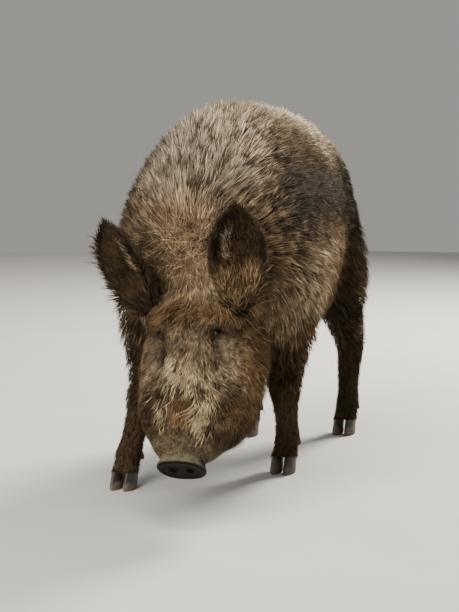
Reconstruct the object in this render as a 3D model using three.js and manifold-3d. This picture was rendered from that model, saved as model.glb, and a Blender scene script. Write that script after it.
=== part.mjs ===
// A wild boar at life size, standing with its head lowered to the ground, as a still museum model.
// Millimetres, +Z up. The boar faces -Y and its left side is +X. Every solid is the outside of the
// coat. The body is carried as one surface from tail to snout, the legs join it, and thin planar cuts
// then part the whole into trunk, neck, head and legs.
import * as THREE from "three";
import { mergeVertices } from "three/addons/utils/BufferGeometryUtils.js";
import Module from "manifold-3d";

const wasm = await Module();
wasm.setup();

// ---------------------------------------------------------------- driving dimensions
const WITHERS = 886; // height of the mane over the shoulders
const CHEST_FLOOR = 0.325 * WITHERS; // lowest hair of the chest
const GROIN = 0.4 * WITHERS; // height of the belly between the hind legs
const HIP_Y = 560; // hip joint behind the shoulder joint
const HEAD_LENGTH = 376; // back of the skull to the nose disc
const HEAD_PITCH = 59; // degrees that the head points below level
const HEAD_YAW = 4; // degrees that the head turns to the boar's left
const HEAD_ROLL = 10; // degrees that its left side is lifted
const GAP = 0.4; // clearance between neighbouring solids

const LEG_X = { fore: 108, hind: 120 }; // leg column, out from the mid-plane
const LEG_PIVOT = { fore: 560, hind: 620 }; // height about which a leg swings
const STEP = { // how far back and out of its joint each foot stands, and the bulge of the loaded arm
  foreleg_left: { back: 110, out: 0, bulge: 0 },
  foreleg_right: { back: -175, out: 80, bulge: 28 },
  hindleg_left: { back: 30, out: 0, bulge: 0 },
  hindleg_right: { back: -70, out: 0, bulge: 0 },
};
const BULGE = { z: 410, reach: 190 }; // height of the bulge, and how far above and below it fades
const FORE_KNEE = 205;
const HOCK = 235;
const FOOT_HEIGHT = 80; // the swing of a leg is complete at this height
const HOOF_HEIGHT = 40;
const NECK_RUN = 75; // from the last section of the neck to the back of the skull
const EYE_RADIUS = 12;
const EAR_LENGTH = 176;

// ---------------------------------------------------------------- solids
const rad = THREE.MathUtils.degToRad;

// A closed geometry as a manifold solid, with its faces turned outwards.
function solid(geometry) {
  const bare = geometry.clone();
  bare.deleteAttribute("normal");
  bare.deleteAttribute("uv");
  const merged = mergeVertices(bare, 1e-3);
  return new wasm.Manifold(
    new wasm.Mesh({
      numProp: 3,
      vertProperties: new Float32Array(merged.attributes.position.array),
      triVerts: new Uint32Array(merged.index.array),
    }),
  );
}

// A manifold solid as a three.js geometry.
function geometryOf(made) {
  const { numProp, numVert, vertProperties, triVerts } = made.getMesh();
  const points = new Float32Array(numVert * 3);
  for (let i = 0; i < numVert; i++)
    points.set(vertProperties.subarray(i * numProp, i * numProp + 3), i * 3);
  const geometry = new THREE.BufferGeometry();
  geometry.setAttribute("position", new THREE.BufferAttribute(points, 3));
  geometry.setIndex(new THREE.BufferAttribute(new Uint32Array(triVerts), 1));
  const faceted = geometry.toNonIndexed();
  faceted.computeVertexNormals();
  return faceted;
}

// Joins rings of equal count into a closed skin. Each end closes on its ring's centre.
function skin(rings) {
  const sides = rings[0].length;
  const centre = (ring) =>
    ring.reduce((sum, p) => sum.add(p), new THREE.Vector3()).divideScalar(sides);
  const points = [...rings.flat(), centre(rings[0]), centre(rings.at(-1))];
  const first = rings.length * sides;
  const last = first + 1;
  const faces = [];
  for (let j = 0; j < sides; j++) {
    const k = (j + 1) % sides;
    for (let i = 0; i + 1 < rings.length; i++) {
      const [a, b] = [i * sides + j, i * sides + k];
      faces.push(a, b, b + sides, a, b + sides, a + sides);
    }
    const end = (rings.length - 1) * sides;
    faces.push(first, k, j, last, end + j, end + k);
  }
  const geometry = new THREE.BufferGeometry().setFromPoints(points);
  geometry.setIndex(faces);
  return geometry;
}

// The frame of a section that looks along the animal's own axis: forward tips down by pitch and
// turns left by yaw, side is the boar's left and up is square to both.
function frame(pitch, yaw, roll = 0) {
  const [p, q] = [rad(pitch), rad(yaw)];
  const forward = new THREE.Vector3(
    Math.sin(q) * Math.cos(p), -Math.cos(q) * Math.cos(p), -Math.sin(p));
  const side = new THREE.Vector3(Math.cos(q), Math.sin(q), 0).applyAxisAngle(forward, rad(roll));
  return { forward, side, up: forward.clone().cross(side) };
}

// One ring of a section: a superellipse whose upper and lower halves have their own height and
// fullness. Fullness 2 is an ellipse, more is squarer, less is keeled.
function ring(s, sides) {
  const { side, up } = frame(s.pitch, s.yaw, s.roll);
  return Array.from({ length: sides }, (_, j) => {
    const angle = (2 * Math.PI * j) / sides;
    const [c, d] = [Math.cos(angle), Math.sin(angle)];
    const power = 2 / (d > 0 ? s.fullTop : s.fullBelow);
    const across = s.wide * Math.sign(c) * Math.abs(c) ** power;
    const high = (d > 0 ? s.top : s.below) * Math.sign(d) * Math.abs(d) ** power;
    return new THREE.Vector3(s.x, s.y, s.z).addScaledVector(side, across).addScaledVector(up, high);
  });
}

// A smooth curve through places and values, with a number of values at each place.
const cubicThrough = (places, values, count) =>
  new THREE.CubicInterpolant(places, values, count, new Float64Array(count));

// Reads a table of stations as smooth curves: every column is a cubic track over the row's place.
const COLUMNS = [
  "x", "y", "z", "pitch", "yaw", "roll", "wide", "top", "below", "fullTop", "fullBelow",
];
function track(stations) {
  const places = stations.map((s) => s.at);
  const values = stations.flatMap((s) => COLUMNS.map((c) => s[c]));
  const cubic = cubicThrough(places, values, COLUMNS.length);
  return (at) => {
    const row = cubic.evaluate(at);
    return Object.fromEntries(COLUMNS.map((c, i) => [c, row[i]]));
  };
}

// Carries a section along its stations. The rings crowd where the stations do, and grow adds to
// every radius.
function carried(stations, rings, sides, grow = 0) {
  const read = track(stations);
  const last = stations.length - 1;
  const place = cubicThrough(stations.map((_, i) => i / last), stations.map((s) => s.at), 1);
  const made = [];
  for (let i = 0; i < rings; i++) {
    const s = read(place.evaluate(i / (rings - 1))[0]);
    s.wide += grow;
    s.top += grow;
    s.below += grow;
    made.push(ring(s, sides));
  }
  return solid(skin(made));
}

// ---------------------------------------------------------------- the body from tail to snout
function row(
  at, y, z, pitch, wide, top, below, fullTop = 2, fullBelow = 2, x = 0, yaw = 0, roll = 0,
) {
  return { at, x, y, z, pitch, yaw, roll, wide, top, below, fullTop, fullBelow };
}

// Trunk and neck: place, y, height of the widest level, pitch, half width, height above and below
// it, fullness above and below, x, yaw, roll.
const TRUNK = [
  row(0, 738, 600, -20, 14, 16, 16),
  row(30, 718, 592, -14, 82, 116, 98),
  row(90, 660, 585, -8, 134, 194, 176, 2.1),
  row(180, 570, 575, -4, 158, 242, 230, 2.2),
  row(300, 440, 565, 0, 174, 283, 268, 2.3),
  row(440, 300, 560, 0, 198, 310, 284, 2.25, 2.1),
  row(590, 150, 560, 2, 218, WITHERS - 562, 560 - CHEST_FLOOR, 2.05, 2.3),
  row(730, 10, 560, 6, 228, WITHERS - 559, 272, 1.9, 2.5),
  row(850, -105, 550, 14, 222, 304, 240, 1.8, 2.6, 0, 2),
  row(960, -200, 525, 26, 202, 250, 205, 1.8, 2.5, 6, 5),
  row(1040, -268, 490, 38, 172, 202, 172, 1.9, 2.2, 22, 6, 4),
];

// Head: distance from the back of the skull, half width, height over and under the widest level,
// how far that level lies below the head's own axis, fullness above and below.
const HEAD = [
  [0, 136, 122, 120, 26, 2, 2],
  [50, 138, 118, 118, 30, 2, 2],
  [100, 142, 106, 116, 32, 1.9, 2],
  [150, 146, 96, 114, 34, 1.8, 2],
  [200, 147, 84, 112, 32, 1.8, 2],
  [250, 134, 72, 102, 28, 1.9, 2],
  [300, 106, 60, 80, 20, 2, 2.2],
  [345, 74, 52, 54, 10, 2.2, 2.2],
  [HEAD_LENGTH, 52, 45, 41, 2, 2.2, 2.2],
];
const POLL = new THREE.Vector3(54, -330, 462); // on the head's axis at the back of the skull
const skull = frame(HEAD_PITCH, HEAD_YAW, HEAD_ROLL);

// A point of the head: along its axis, to its left, and up out of the forehead.
const onHead = (along, left, up) =>
  POLL.clone().addScaledVector(skull.forward, along).addScaledVector(skull.side, left)
    .addScaledVector(skull.up, up);

function bodyStations() {
  const start = TRUNK.at(-1).at + NECK_RUN;
  const head = HEAD.map(([s, wide, top, below, drop, fullTop, fullBelow]) => {
    const { x, y, z } = onHead(s, 0, -drop);
    const angles = { pitch: HEAD_PITCH, yaw: HEAD_YAW, roll: HEAD_ROLL };
    return { at: start + s, x, y, z, ...angles, wide, top, below, fullTop, fullBelow };
  });
  return [...TRUNK, ...head];
}
const BODY_RINGS = 46;
const BODY_SIDES = 24;
const body = (grow = 0) => carried(bodyStations(), BODY_RINGS, BODY_SIDES, grow);

// ---------------------------------------------------------------- legs
// Height, how far in from the leg's column, y of the leg's centre, half width, and depth before and
// behind it.
const FORELEG = [
  [700, 50, 30, 40, 40, 40],
  [650, 30, 22, 84, 100, 100],
  [550, 8, 5, 112, 132, 130],
  [440, 0, 8, 110, 112, 122],
  [360, -6, 20, 94, 86, 98],
  [300, -4, 22, 72, 66, 72],
  [240, 0, 16, 51, 50, 52],
  [205, 0, 10, 44, 45, 44],
  [165, 0, 10, 36, 38, 37],
  [115, 0, 10, 31, 34, 35],
  [82, 0, 6, 33, 36, 40],
  [60, 0, -4, 32, 36, 36],
  [HOOF_HEIGHT, 0, -16, 33, 38, 34],
];
const HINDLEG = [
  [720, 78, 575, 40, 50, 50],
  [680, 68, 578, 72, 116, 92],
  [600, 46, 575, 102, 160, 124],
  [490, 28, 565, 104, 154, 124],
  [400, 14, 570, 88, 116, 100],
  [320, 8, 606, 60, 72, 70],
  [265, 2, 640, 46, 52, 56],
  [225, 0, 655, 38, 46, 46],
  [170, 0, 645, 34, 38, 36],
  [115, 0, 633, 31, 34, 34],
  [82, 0, 625, 33, 36, 40],
  [60, 0, 614, 32, 36, 36],
  [HOOF_HEIGHT, 0, 602, 33, 38, 34],
];

const LEG_RINGS = 18;
const LEG_SIDES = 12;

// One leg. Above its pivot it follows the table, below it swings out to its own stance.
function leg({ table, way, x, pivot, stance }, grow = 0) {
  const top = table[0][0];
  const stations = table.map(([z, inward, y, wide, before, behind]) => {
    const swing = THREE.MathUtils.clamp((pivot - z) / (pivot - FOOT_HEIGHT), 0, 1);
    const bulge = (stance.bulge / 2) * Math.max(0, 1 - Math.abs(z - BULGE.z) / BULGE.reach);
    const across = way * (x - inward + stance.out * swing + bulge);
    const centre = y + stance.back * swing;
    return row(top - z, centre, z, 90, wide + bulge, before, behind, 2, 2, across);
  });
  return carried(stations, LEG_RINGS, LEG_SIDES, grow);
}

const LEGS = ["fore", "hind"].flatMap((end) => ["left", "right"].map((hand) => {
  const name = `${end}leg_${hand}`;
  return {
    name,
    end,
    way: hand === "left" ? 1 : -1,
    table: end === "fore" ? FORELEG : HINDLEG,
    x: LEG_X[end],
    pivot: LEG_PIVOT[end],
    stance: STEP[name],
  };
}));

// ---------------------------------------------------------------- cuts
const UP = new THREE.Vector3(0, 0, 1);
const DOWN = UP.clone().negate();
const FAR = 4000; // larger than the animal on every side

// Everything on the side of a plane that its normal points to, moved out by clear.
function half(point, normal, clear = 0) {
  const box = new THREE.BoxGeometry(FAR, FAR, FAR);
  box.translate(0, 0, FAR / 2 - clear);
  box.applyQuaternion(new THREE.Quaternion().setFromUnitVectors(UP, normal.clone().normalize()));
  box.translate(point.x, point.y, point.z);
  return solid(box);
}
const common = (solids) => solids.reduce((a, b) => a.intersect(b));
const joined = (solids) => solids.reduce((a, b) => a.add(b));

// The wedge of space that holds one leg: outside the mid-plane, under a plane that rises outwards
// from it, and between two leaning planes fore and aft of the limb.
const SPACE = {
  inner: 3, // nearest that a leg's solid comes to the mid-plane
  root: 12, // where the rising plane starts, out from the mid-plane
  level: 400, // height at which the reach before and behind the joint is measured
  lean: 0.35, // how much the planes fore and aft close in above that level
  fore: { joint: 0, floor: CHEST_FLOOR + 4, rise: 50, before: 172, behind: 160 },
  hind: { joint: HIP_Y, floor: GROIN - 18, rise: 55, before: 185, behind: 400 },
};
function legSpace({ end, way }, clear) {
  const { joint, floor, rise, before, behind } = SPACE[end];
  const slope = rad(rise);
  const inner = new THREE.Vector3(way * SPACE.inner, 0, 0);
  const root = new THREE.Vector3(way * SPACE.root, joint, floor);
  const front = new THREE.Vector3(0, joint - before, SPACE.level);
  const back = new THREE.Vector3(0, joint + behind, SPACE.level);
  return common([
    half(inner, new THREE.Vector3(way, 0, 0), clear),
    half(root, new THREE.Vector3(way * Math.sin(slope), 0, -Math.cos(slope)), clear),
    half(front, new THREE.Vector3(0, 1, -SPACE.lean), clear),
    half(back, new THREE.Vector3(0, -1, -SPACE.lean), clear),
  ]);
}

// ---------------------------------------------------------------- the parts
const MATERIALS = {
  coat: new THREE.MeshStandardMaterial({ color: 0x4a3d31, roughness: 0.95, metalness: 0 }),
  dark: new THREE.MeshStandardMaterial({ color: 0x2a231d, roughness: 0.95, metalness: 0 }),
  face: new THREE.MeshStandardMaterial({ color: 0x6b543d, roughness: 0.95, metalness: 0 }),
  nose: new THREE.MeshStandardMaterial({ color: 0x3c332c, roughness: 0.6, metalness: 0 }),
  eye: new THREE.MeshStandardMaterial({ color: 0x120c08, roughness: 0.1, metalness: 0 }),
  hoof: new THREE.MeshStandardMaterial({ color: 0x1e1a17, roughness: 0.5, metalness: 0 }),
};

const boar = new THREE.Group();
function put(name, made, material) {
  const mesh = new THREE.Mesh(geometryOf(made), MATERIALS[material]);
  mesh.name = name;
  boar.add(mesh);
}

const whole = joined([body(), ...LEGS.map((l) => leg(l))]);
const rest = LEGS.reduce((left, l) => left.subtract(legSpace(l, GAP / 2)), whole);

// The neck starts on the line from the withers to the elbow. The head starts behind the ears, on a
// plane half way between the head's own direction and the neck's.
const neckCut = { point: new THREE.Vector3(0, -178, 540), normal: frame(6, 0).forward };
const headCut = {
  point: onHead(12, 0, 0),
  normal: skull.forward.clone().add(frame(40, 7).forward),
};
const beyond = ({ point, normal }) => half(point, normal, -GAP / 2);
const before = ({ point, normal }) => half(point, normal.clone().negate(), -GAP / 2);

put("trunk", rest.intersect(before(neckCut)), "coat");
put("neck", common([rest, beyond(neckCut), before(headCut)]), "coat");

// Head and lower jaw: the mouth is a thin slit along the muzzle, and the chin ends short of the nose.
const MOUTH = { back: 215, front: 352, up: -62, rise: 0.2 };
const palate = skull.up.clone().negate().addScaledVector(skull.forward, MOUTH.rise);
const mouth = (clear) => common([
  half(onHead(MOUTH.back, 0, MOUTH.up), palate, clear),
  half(onHead(MOUTH.back, 0, 0), skull.forward, clear),
]);
const chin = half(onHead(MOUTH.front, 0, 0), skull.forward.clone().negate());

// Eyes: balls in sockets at the sides of the brow, each at the bottom of a shallow hollow of the
// coat. The hollow is a ball flattened towards the forehead and drawn out along the head.
function ball(centre, radius, squash = new THREE.Vector3(1, 1, 1)) {
  const sphere = new THREE.SphereGeometry(radius, 14, 9);
  sphere.scale(squash.x, squash.y, squash.z);
  sphere.applyMatrix4(new THREE.Matrix4().makeBasis(skull.side, skull.up, skull.forward));
  sphere.translate(centre.x, centre.y, centre.z);
  return solid(sphere);
}
const EYE = { along: 111, out: 58, up: 47 };
const HOLLOW = { along: 115, out: 68, up: 66, radius: 19, squash: new THREE.Vector3(1, 0.9, 1.15) };

let head = rest.intersect(beyond(headCut)).subtract(mouth(GAP / 2));
for (const [hand, way] of [["left", 1], ["right", -1]]) {
  const eye = onHead(EYE.along, way * EYE.out, EYE.up);
  const hollow = onHead(HOLLOW.along, way * HOLLOW.out, HOLLOW.up);
  head = head.subtract(ball(hollow, HOLLOW.radius, HOLLOW.squash));
  head = head.subtract(ball(eye, EYE_RADIUS + GAP));
  put(`eye_${hand}`, ball(eye, EYE_RADIUS), "eye");
}
put("head", head, "face");
put("jaw", common([rest, beyond(headCut), mouth(-GAP / 2), chin]), "face");

// Nose: the flat rooting disc on the end of the muzzle, leaning back at its upper rim, with two
// nostrils. Its oval is a superellipse, and its edges are bevelled at the muzzle and at the face.
const NOSE = { thick: 22, wide: 52, high: 44, drop: 2, lean: 0.2, leanFrom: 4, power: 0.85 };
const NOSE_SIDES = 20;
const NOSE_RINGS = [[GAP, -5], [5, 0], [NOSE.thick - 4, 1], [NOSE.thick, -4]]; // along, swell
const NOSTRIL = { out: 19, drop: 2, mouth: 9, end: 7, deep: 10, oval: 1.25, sides: 12 };

function noseRing([along, swell]) {
  const rounded = (v) => Math.sign(v) * Math.abs(v) ** NOSE.power;
  return Array.from({ length: NOSE_SIDES }, (_, i) => {
    const a = (2 * Math.PI * i) / NOSE_SIDES;
    const x = (NOSE.wide + swell) * rounded(Math.cos(a));
    const y = (NOSE.high + swell) * rounded(Math.sin(a));
    const lean = Math.max(0, along - NOSE.leanFrom) * NOSE.lean * (y / NOSE.high);
    return new THREE.Vector3(x, y, along + lean);
  });
}

function nostril(way) {
  const { mouth: wide, end, deep, sides } = NOSTRIL;
  const hole = new THREE.CylinderGeometry(wide, end, 2 * deep, sides);
  hole.rotateX(Math.PI / 2);
  hole.scale(1, NOSTRIL.oval, 1);
  hole.translate(way * NOSTRIL.out, -NOSTRIL.drop, NOSE.thick);
  return solid(hole);
}

{
  const disc = solid(skin(NOSE_RINGS.map(noseRing)));
  const nose = geometryOf(disc.subtract(nostril(-1)).subtract(nostril(1)));
  nose.applyMatrix4(new THREE.Matrix4().makeBasis(skull.side, skull.up, skull.forward));
  const place = onHead(HEAD_LENGTH, 0, -NOSE.drop);
  nose.translate(place.x, place.y, place.z);
  put("nose", solid(nose), "nose");
}

// Ears: cupped leaves. Each row is how far along, half width, depth of the cup, thickness.
const EAR = [
  [-0.32, 24, 24, 28],
  [-0.1, 35, 32, 36],
  [0.08, 45, 34, 32],
  [0.26, 57, 34, 18],
  [0.48, 60, 30, 14],
  [0.7, 49, 22, 12],
  [0.87, 29, 14, 10],
  [0.97, 11, 7, 7],
  [1, 3, 3, 4],
];
const EARS = {
  left: { base: [14, 106, 72], point: [-0.7, 0.17, 0.77], open: [0.4, 0.5, 0.78] },
  right: { base: [16, -117, 64], point: [-0.6, -0.36, 0.8], open: [0.34, -0.42, 0.85] },
};
const EAR_SIDES = 9; // points round the back of an ear
const EAR_BEND = 18; // how far the tip leans back from the open side

function ear({ base, point, open }) {
  const turned = ([along, left, up]) => onHead(along, left, up).sub(POLL);
  const root = onHead(...base);
  const up = turned(point).normalize();
  const out = turned(open);
  out.addScaledVector(up, -out.dot(up)).normalize();
  const across = up.clone().cross(out);
  const rings = EAR.map(([t, wide, cup, thick]) => {
    const middle = root.clone().addScaledVector(up, t * EAR_LENGTH);
    middle.addScaledVector(out, -EAR_BEND * t * t);
    const back = Array.from({ length: EAR_SIDES }, (_, i) =>
      [Math.PI * (i / (EAR_SIDES - 1) - 0.5), cup]);
    const front = back.slice(1, -1).reverse().map(([a]) => [a, cup - thick]);
    return [...back, ...front].reverse().map(([a, deep]) => middle.clone()
      .addScaledVector(across, wide * Math.sin(a))
      .addScaledVector(out, cup / 2 - deep * Math.cos(a)));
  });
  return solid(skin(rings));
}

const skullOut = body(GAP);
for (const [hand, shape] of Object.entries(EARS)) {
  put(`ear_${hand}`, ear(shape).subtract(skullOut), "dark");
}

// Legs, parted at the knee or hock.
for (const l of LEGS) {
  const limb = common([whole, legSpace(l, -GAP / 2)]);
  const knee = new THREE.Vector3(0, 0, l.end === "fore" ? FORE_KNEE : HOCK);
  put(`${l.name}_upper`, limb.intersect(half(knee, UP, -GAP / 2)), "coat");
  put(`${l.name}_lower`, limb.intersect(half(knee, DOWN, -GAP / 2)), "dark");
}

// Hooves: two claws with flat soles under each foot, and two small dewclaws behind the pastern.
const CLAW = { half: 13.5, apart: 16, reach: 35, heel: 27, lean: 14, taper: 0.35, sides: 12 };
// height, swell, and share of the forward lean
const CLAW_ROWS = [[0, -1.5, 1], [3, 0, 1], [22, 0, 0.55], [HOOF_HEIGHT - GAP, 0, 0]];
const DEWCLAW = {
  z: 92, apart: 17, behind: 30, // where it leaves the pastern
  out: 6, back: 22, length: 34, // from there to its tip
  radius: 9, tip: 5, sides: 8,
};

function claw(x, y) {
  const rings = CLAW_ROWS.map(([z, swell, lean]) => Array.from({ length: CLAW.sides }, (_, i) => {
    const a = (2 * Math.PI * i) / CLAW.sides;
    const toe = Math.max(0, Math.cos(a));
    const along = toe > 0 ? CLAW.reach : CLAW.heel;
    const across = (CLAW.half + swell) * Math.sin(a) * (1 - CLAW.taper * toe ** 3);
    return new THREE.Vector3(x + across, y - (along + swell) * Math.cos(a) - CLAW.lean * lean, z);
  }));
  return solid(skin(rings));
}

function dewclaw(centre, way) {
  const start = new THREE.Vector3(way * DEWCLAW.apart, DEWCLAW.behind, DEWCLAW.z).add(centre);
  const run = new THREE.Vector3(way * DEWCLAW.out, DEWCLAW.back, -DEWCLAW.length);
  const cone = new THREE.CylinderGeometry(
    DEWCLAW.tip, DEWCLAW.radius, run.length(), DEWCLAW.sides);
  cone.applyQuaternion(new THREE.Quaternion().setFromUnitVectors(
    new THREE.Vector3(0, 1, 0), run.clone().normalize()));
  const { x, y, z } = start.addScaledVector(run, 0.5);
  cone.translate(x, y, z);
  return solid(cone);
}

for (const l of LEGS) {
  const [, inward, y] = l.table.at(-1);
  const across = l.way * (l.x - inward + l.stance.out);
  const centre = new THREE.Vector3(across, y + l.stance.back, 0);
  for (const [side, sign] of [["inner", -1], ["outer", 1]]) {
    const way = l.way * sign;
    put(`${l.name}_claw_${side}`, claw(centre.x + way * CLAW.apart, centre.y), "hoof");
    put(`${l.name}_dewclaw_${side}`, dewclaw(centre, way).subtract(leg(l, GAP)), "hoof");
  }
}

// Tail: a thin hanging stem and the tassel at its end. Each row is a place, y, z and radius.
const TAIL = [
  [0, 715, 715, 16],
  [40, 750, 700, 15],
  [100, 772, 645, 13],
  [180, 780, 565, 12],
  [250, 782, 500, 11],
];
const TASSEL = [
  [0, 782, 499, 10],
  [30, 783, 470, 17],
  [80, 784, 420, 20],
  [125, 785, 375, 13],
  [150, 785, 350, 3],
];
const STEM_RINGS = 9;
const STEM_SIDES = 10;
function stem(table) {
  const stations = table.map(([at, y, z, radius], i) => {
    const [, yBefore, zBefore] = table[Math.max(0, i - 1)];
    const [, yAfter, zAfter] = table[Math.min(table.length - 1, i + 1)];
    const tilt = THREE.MathUtils.radToDeg(Math.atan2(zBefore - zAfter, yBefore - yAfter));
    return row(at, y, z, tilt, radius, radius, radius);
  });
  return carried(stations, STEM_RINGS, STEM_SIDES);
}
const tailStem = stem(TAIL);
put("tail", tailStem.subtract(skullOut), "coat");
put("tail_tassel", stem(TASSEL).subtract(tailStem), "dark");

// The origin is the middle of the bounding box at the floor.
boar.updateMatrixWorld(true);
const box = new THREE.Box3().setFromObject(boar);
const middle = box.getCenter(new THREE.Vector3());
for (const mesh of boar.children) mesh.geometry.translate(-middle.x, -middle.y, -box.min.z);

export default boar;
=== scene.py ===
# %% [markdown]
# # A wild boar at life size
# A still museum model of an old wild boar that walks with its snout at the ground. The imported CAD
# model gives the outside of the coat. This lesson puts a skin inside it, shapes the face, sets in the
# eyes, the snout disc and the hooves, and lays the bristles over the skin as solid tufts.
# Lengths in the tables are millimetres, and MM turns them into Blender's metres.

# %% Load the frame
import bmesh
import bpy
import numpy as np
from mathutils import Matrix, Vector
from mathutils.bvhtree import BVHTree
from mathutils.kdtree import KDTree


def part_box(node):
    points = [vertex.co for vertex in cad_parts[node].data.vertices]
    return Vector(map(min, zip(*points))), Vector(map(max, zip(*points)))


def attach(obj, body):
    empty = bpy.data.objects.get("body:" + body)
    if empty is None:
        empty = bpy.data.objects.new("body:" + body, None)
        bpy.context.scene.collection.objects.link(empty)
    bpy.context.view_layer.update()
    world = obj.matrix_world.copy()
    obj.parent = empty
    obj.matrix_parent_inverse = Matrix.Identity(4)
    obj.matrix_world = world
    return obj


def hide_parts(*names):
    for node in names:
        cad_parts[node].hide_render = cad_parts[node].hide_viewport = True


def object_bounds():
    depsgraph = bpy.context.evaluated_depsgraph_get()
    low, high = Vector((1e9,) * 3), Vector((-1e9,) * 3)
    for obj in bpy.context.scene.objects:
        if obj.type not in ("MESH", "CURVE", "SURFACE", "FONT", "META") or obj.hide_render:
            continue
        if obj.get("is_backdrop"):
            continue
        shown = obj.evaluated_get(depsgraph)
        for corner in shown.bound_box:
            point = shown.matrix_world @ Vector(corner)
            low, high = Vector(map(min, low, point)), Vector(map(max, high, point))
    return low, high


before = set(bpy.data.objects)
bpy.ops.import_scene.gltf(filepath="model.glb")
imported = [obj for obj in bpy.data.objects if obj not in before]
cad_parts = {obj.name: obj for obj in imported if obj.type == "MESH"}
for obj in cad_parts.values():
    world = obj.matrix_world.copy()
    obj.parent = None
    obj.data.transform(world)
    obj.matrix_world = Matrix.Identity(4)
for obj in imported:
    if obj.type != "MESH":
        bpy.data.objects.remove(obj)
cad_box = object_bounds()
MM = 0.001
print("CAD nodes:", len(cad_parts), "box:", [round(v, 3) for c in cad_box for v in c])

# %% [markdown]
# ## Camera
# A long lens from about four metres off, at the height of the back and tipped down a little, looks at
# the boar's front and its left flank. The aim is worked out from the two angles, so that the horizon
# stays level.

# %% Camera
CAMERA_AT = Vector((1.3013, -4.0631, 0.870))
LOOK_LEFT = 18.0  # degrees that the view turns from straight along +Y
LOOK_DOWN = 6.4
LENS = 105.1

camera = bpy.data.objects.new("camera", bpy.data.cameras.new("camera"))
camera.data.lens = LENS
camera.location = CAMERA_AT
camera.rotation_euler = (np.radians(90 - LOOK_DOWN), 0, np.radians(LOOK_LEFT))
bpy.context.scene.collection.objects.link(camera)
bpy.context.scene.camera = camera
print("camera at", [round(v, 3) for v in camera.location], "lens", LENS)


# %% [markdown]
# ## Curves through a table
# The body is known at a few stations. Between them every measure follows a cubic that takes its slope
# from the neighbouring stations and ends with no curvature, so a short table gives a smooth animal.

# %% Smooth curves through a table
def through(places, values, at):
    """Four-point cubic. The slope at a knot comes from the knots on both sides of it, and each end
    borrows the next knot, which makes the curve straight there."""
    places, values = np.asarray(places, float), np.asarray(values, float)
    last = len(places) - 1
    at = np.clip(at, places[0], places[-1])
    i1 = np.clip(np.searchsorted(places, at, side="right"), 1, last)
    i0 = i1 - 1
    before = np.where(i0 > 0, i0 - 1, i1)
    after = np.where(i1 < last, i1 + 1, i0)
    t0, t1 = places[i0], places[i1]
    half = (t1 - t0) / 2
    a, b = half / (t0 - places[before]), half / (places[after] - t1)
    p = (at - t0) / (t1 - t0)
    weights = (
        -a * p**3 + 2 * a * p**2 - a * p,
        (1 + a) * p**3 + (-1.5 - 2 * a) * p**2 + (a - 0.5) * p + 1,
        (-1 - b) * p**3 + (1.5 + b) * p**2 + 0.5 * p,
        b * p**3 - b * p**2,
    )
    return sum(w[:, None] * values[i] for w, i in zip(weights, (before, i0, i1, after)))


def smooth(low, high, x):
    """0 below low, 1 above high, and 3t^2 - 2t^3 between."""
    t = np.clip((np.asarray(x, float) - low) / (high - low), 0, 1)
    return t * t * (3 - 2 * t)


def hump(x, middle, reach):
    """1 at the middle, fading as exp(-((x - middle) / reach)^2)."""
    return np.exp(-(((x - middle) / reach) ** 2))


def bell(points, centre, reach):
    """1 at the centre, fading as exp(-d^2) with its own reach along each axis."""
    return np.exp(-(((points - np.array(centre, float)) / np.array(reach, float)) ** 2).sum(-1))


def powered(v, power):
    """sign(v) * |v|^power, which makes a circle's cosine and sine those of a superellipse."""
    return np.sign(v) * np.abs(v) ** power


def unit(v):
    """Vectors of length one."""
    return v / np.maximum(np.linalg.norm(v, axis=-1, keepdims=True), 1e-12)


def circle(count):
    """Angles evenly round a full turn."""
    return np.arange(count) / count * 2 * np.pi


def axes(pitch, yaw, roll):
    """Forward, side and up of sections that tip down by pitch, turn to the boar's left by yaw and
    lift its left side by roll, all in degrees."""
    p, q, r = (np.radians(np.atleast_1d(np.asarray(a, float))) for a in (pitch, yaw, roll))
    zero = np.zeros_like(q)
    forward = np.stack([np.sin(q) * np.cos(p), -np.cos(q) * np.cos(p), -np.sin(p) + zero], 1)
    level = np.stack([np.cos(q), np.sin(q), zero], 1)
    side = level * np.cos(r)[:, None] + np.cross(forward, level) * np.sin(r)[:, None]
    return forward, side, np.cross(forward, side)


print("a curve through 0, 1, 0 gives", through([0, 1, 2], [[0.0], [1.0], [0.0]], np.array([1.5]))[0, 0])

# %% [markdown]
# ## The head's own axes
# The head hangs 59 degrees below level, turned and tilted a little. Everything on the face is placed
# along the head, to its left and up out of the forehead. The left eye of the CAD model fixes where
# those axes start.

# %% Head axes
HEAD_PITCH, HEAD_YAW, HEAD_ROLL = 59.0, 4.0, 10.0
HEAD_LENGTH = 376.0
EYE = np.array([111.0, 58.0, 47.0])  # along the head, out from its middle, up
EYE_RADIUS = 12.0
POLL = np.array([54.0, -330.0, 462.0])

HEAD_TURN = np.concatenate(axes(HEAD_PITCH, HEAD_YAW, HEAD_ROLL))  # rows: forward, left, up
eye_middle = np.array(sum(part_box("eye_left"), Vector())) / 2
ORIGIN = (POLL + EYE @ HEAD_TURN) - eye_middle / MM  # what the CAD origin takes off every point


def placed(points):
    """Points of the tables, in metres in the row's frame."""
    return (np.asarray(points, float) - ORIGIN) * MM


def on_head(points):
    """Head coordinates in millimetres, to the row's frame in metres."""
    return placed(POLL + np.asarray(points, float) @ HEAD_TURN)


def in_head(points):
    """Points of the row's frame in metres, to head coordinates in millimetres."""
    return (np.asarray(points, float) / MM + ORIGIN - POLL) @ HEAD_TURN.T


print("table origin lies at", np.round(-ORIGIN * MM, 4))

# %% [markdown]
# ## Sections of the body
# A section is a superellipse with its own height and fullness above and below. The first table is the
# outside of the coat, and it is the same as the solids'. The second says how deep the coat is at
# the top, upper side, side, lower side and underneath, and the skin lies that far inside.

# %% Tables of the body
WITHERS = 886.0
CHEST_FLOOR = 0.325 * WITHERS
HEAD_START = 1115.0
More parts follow.
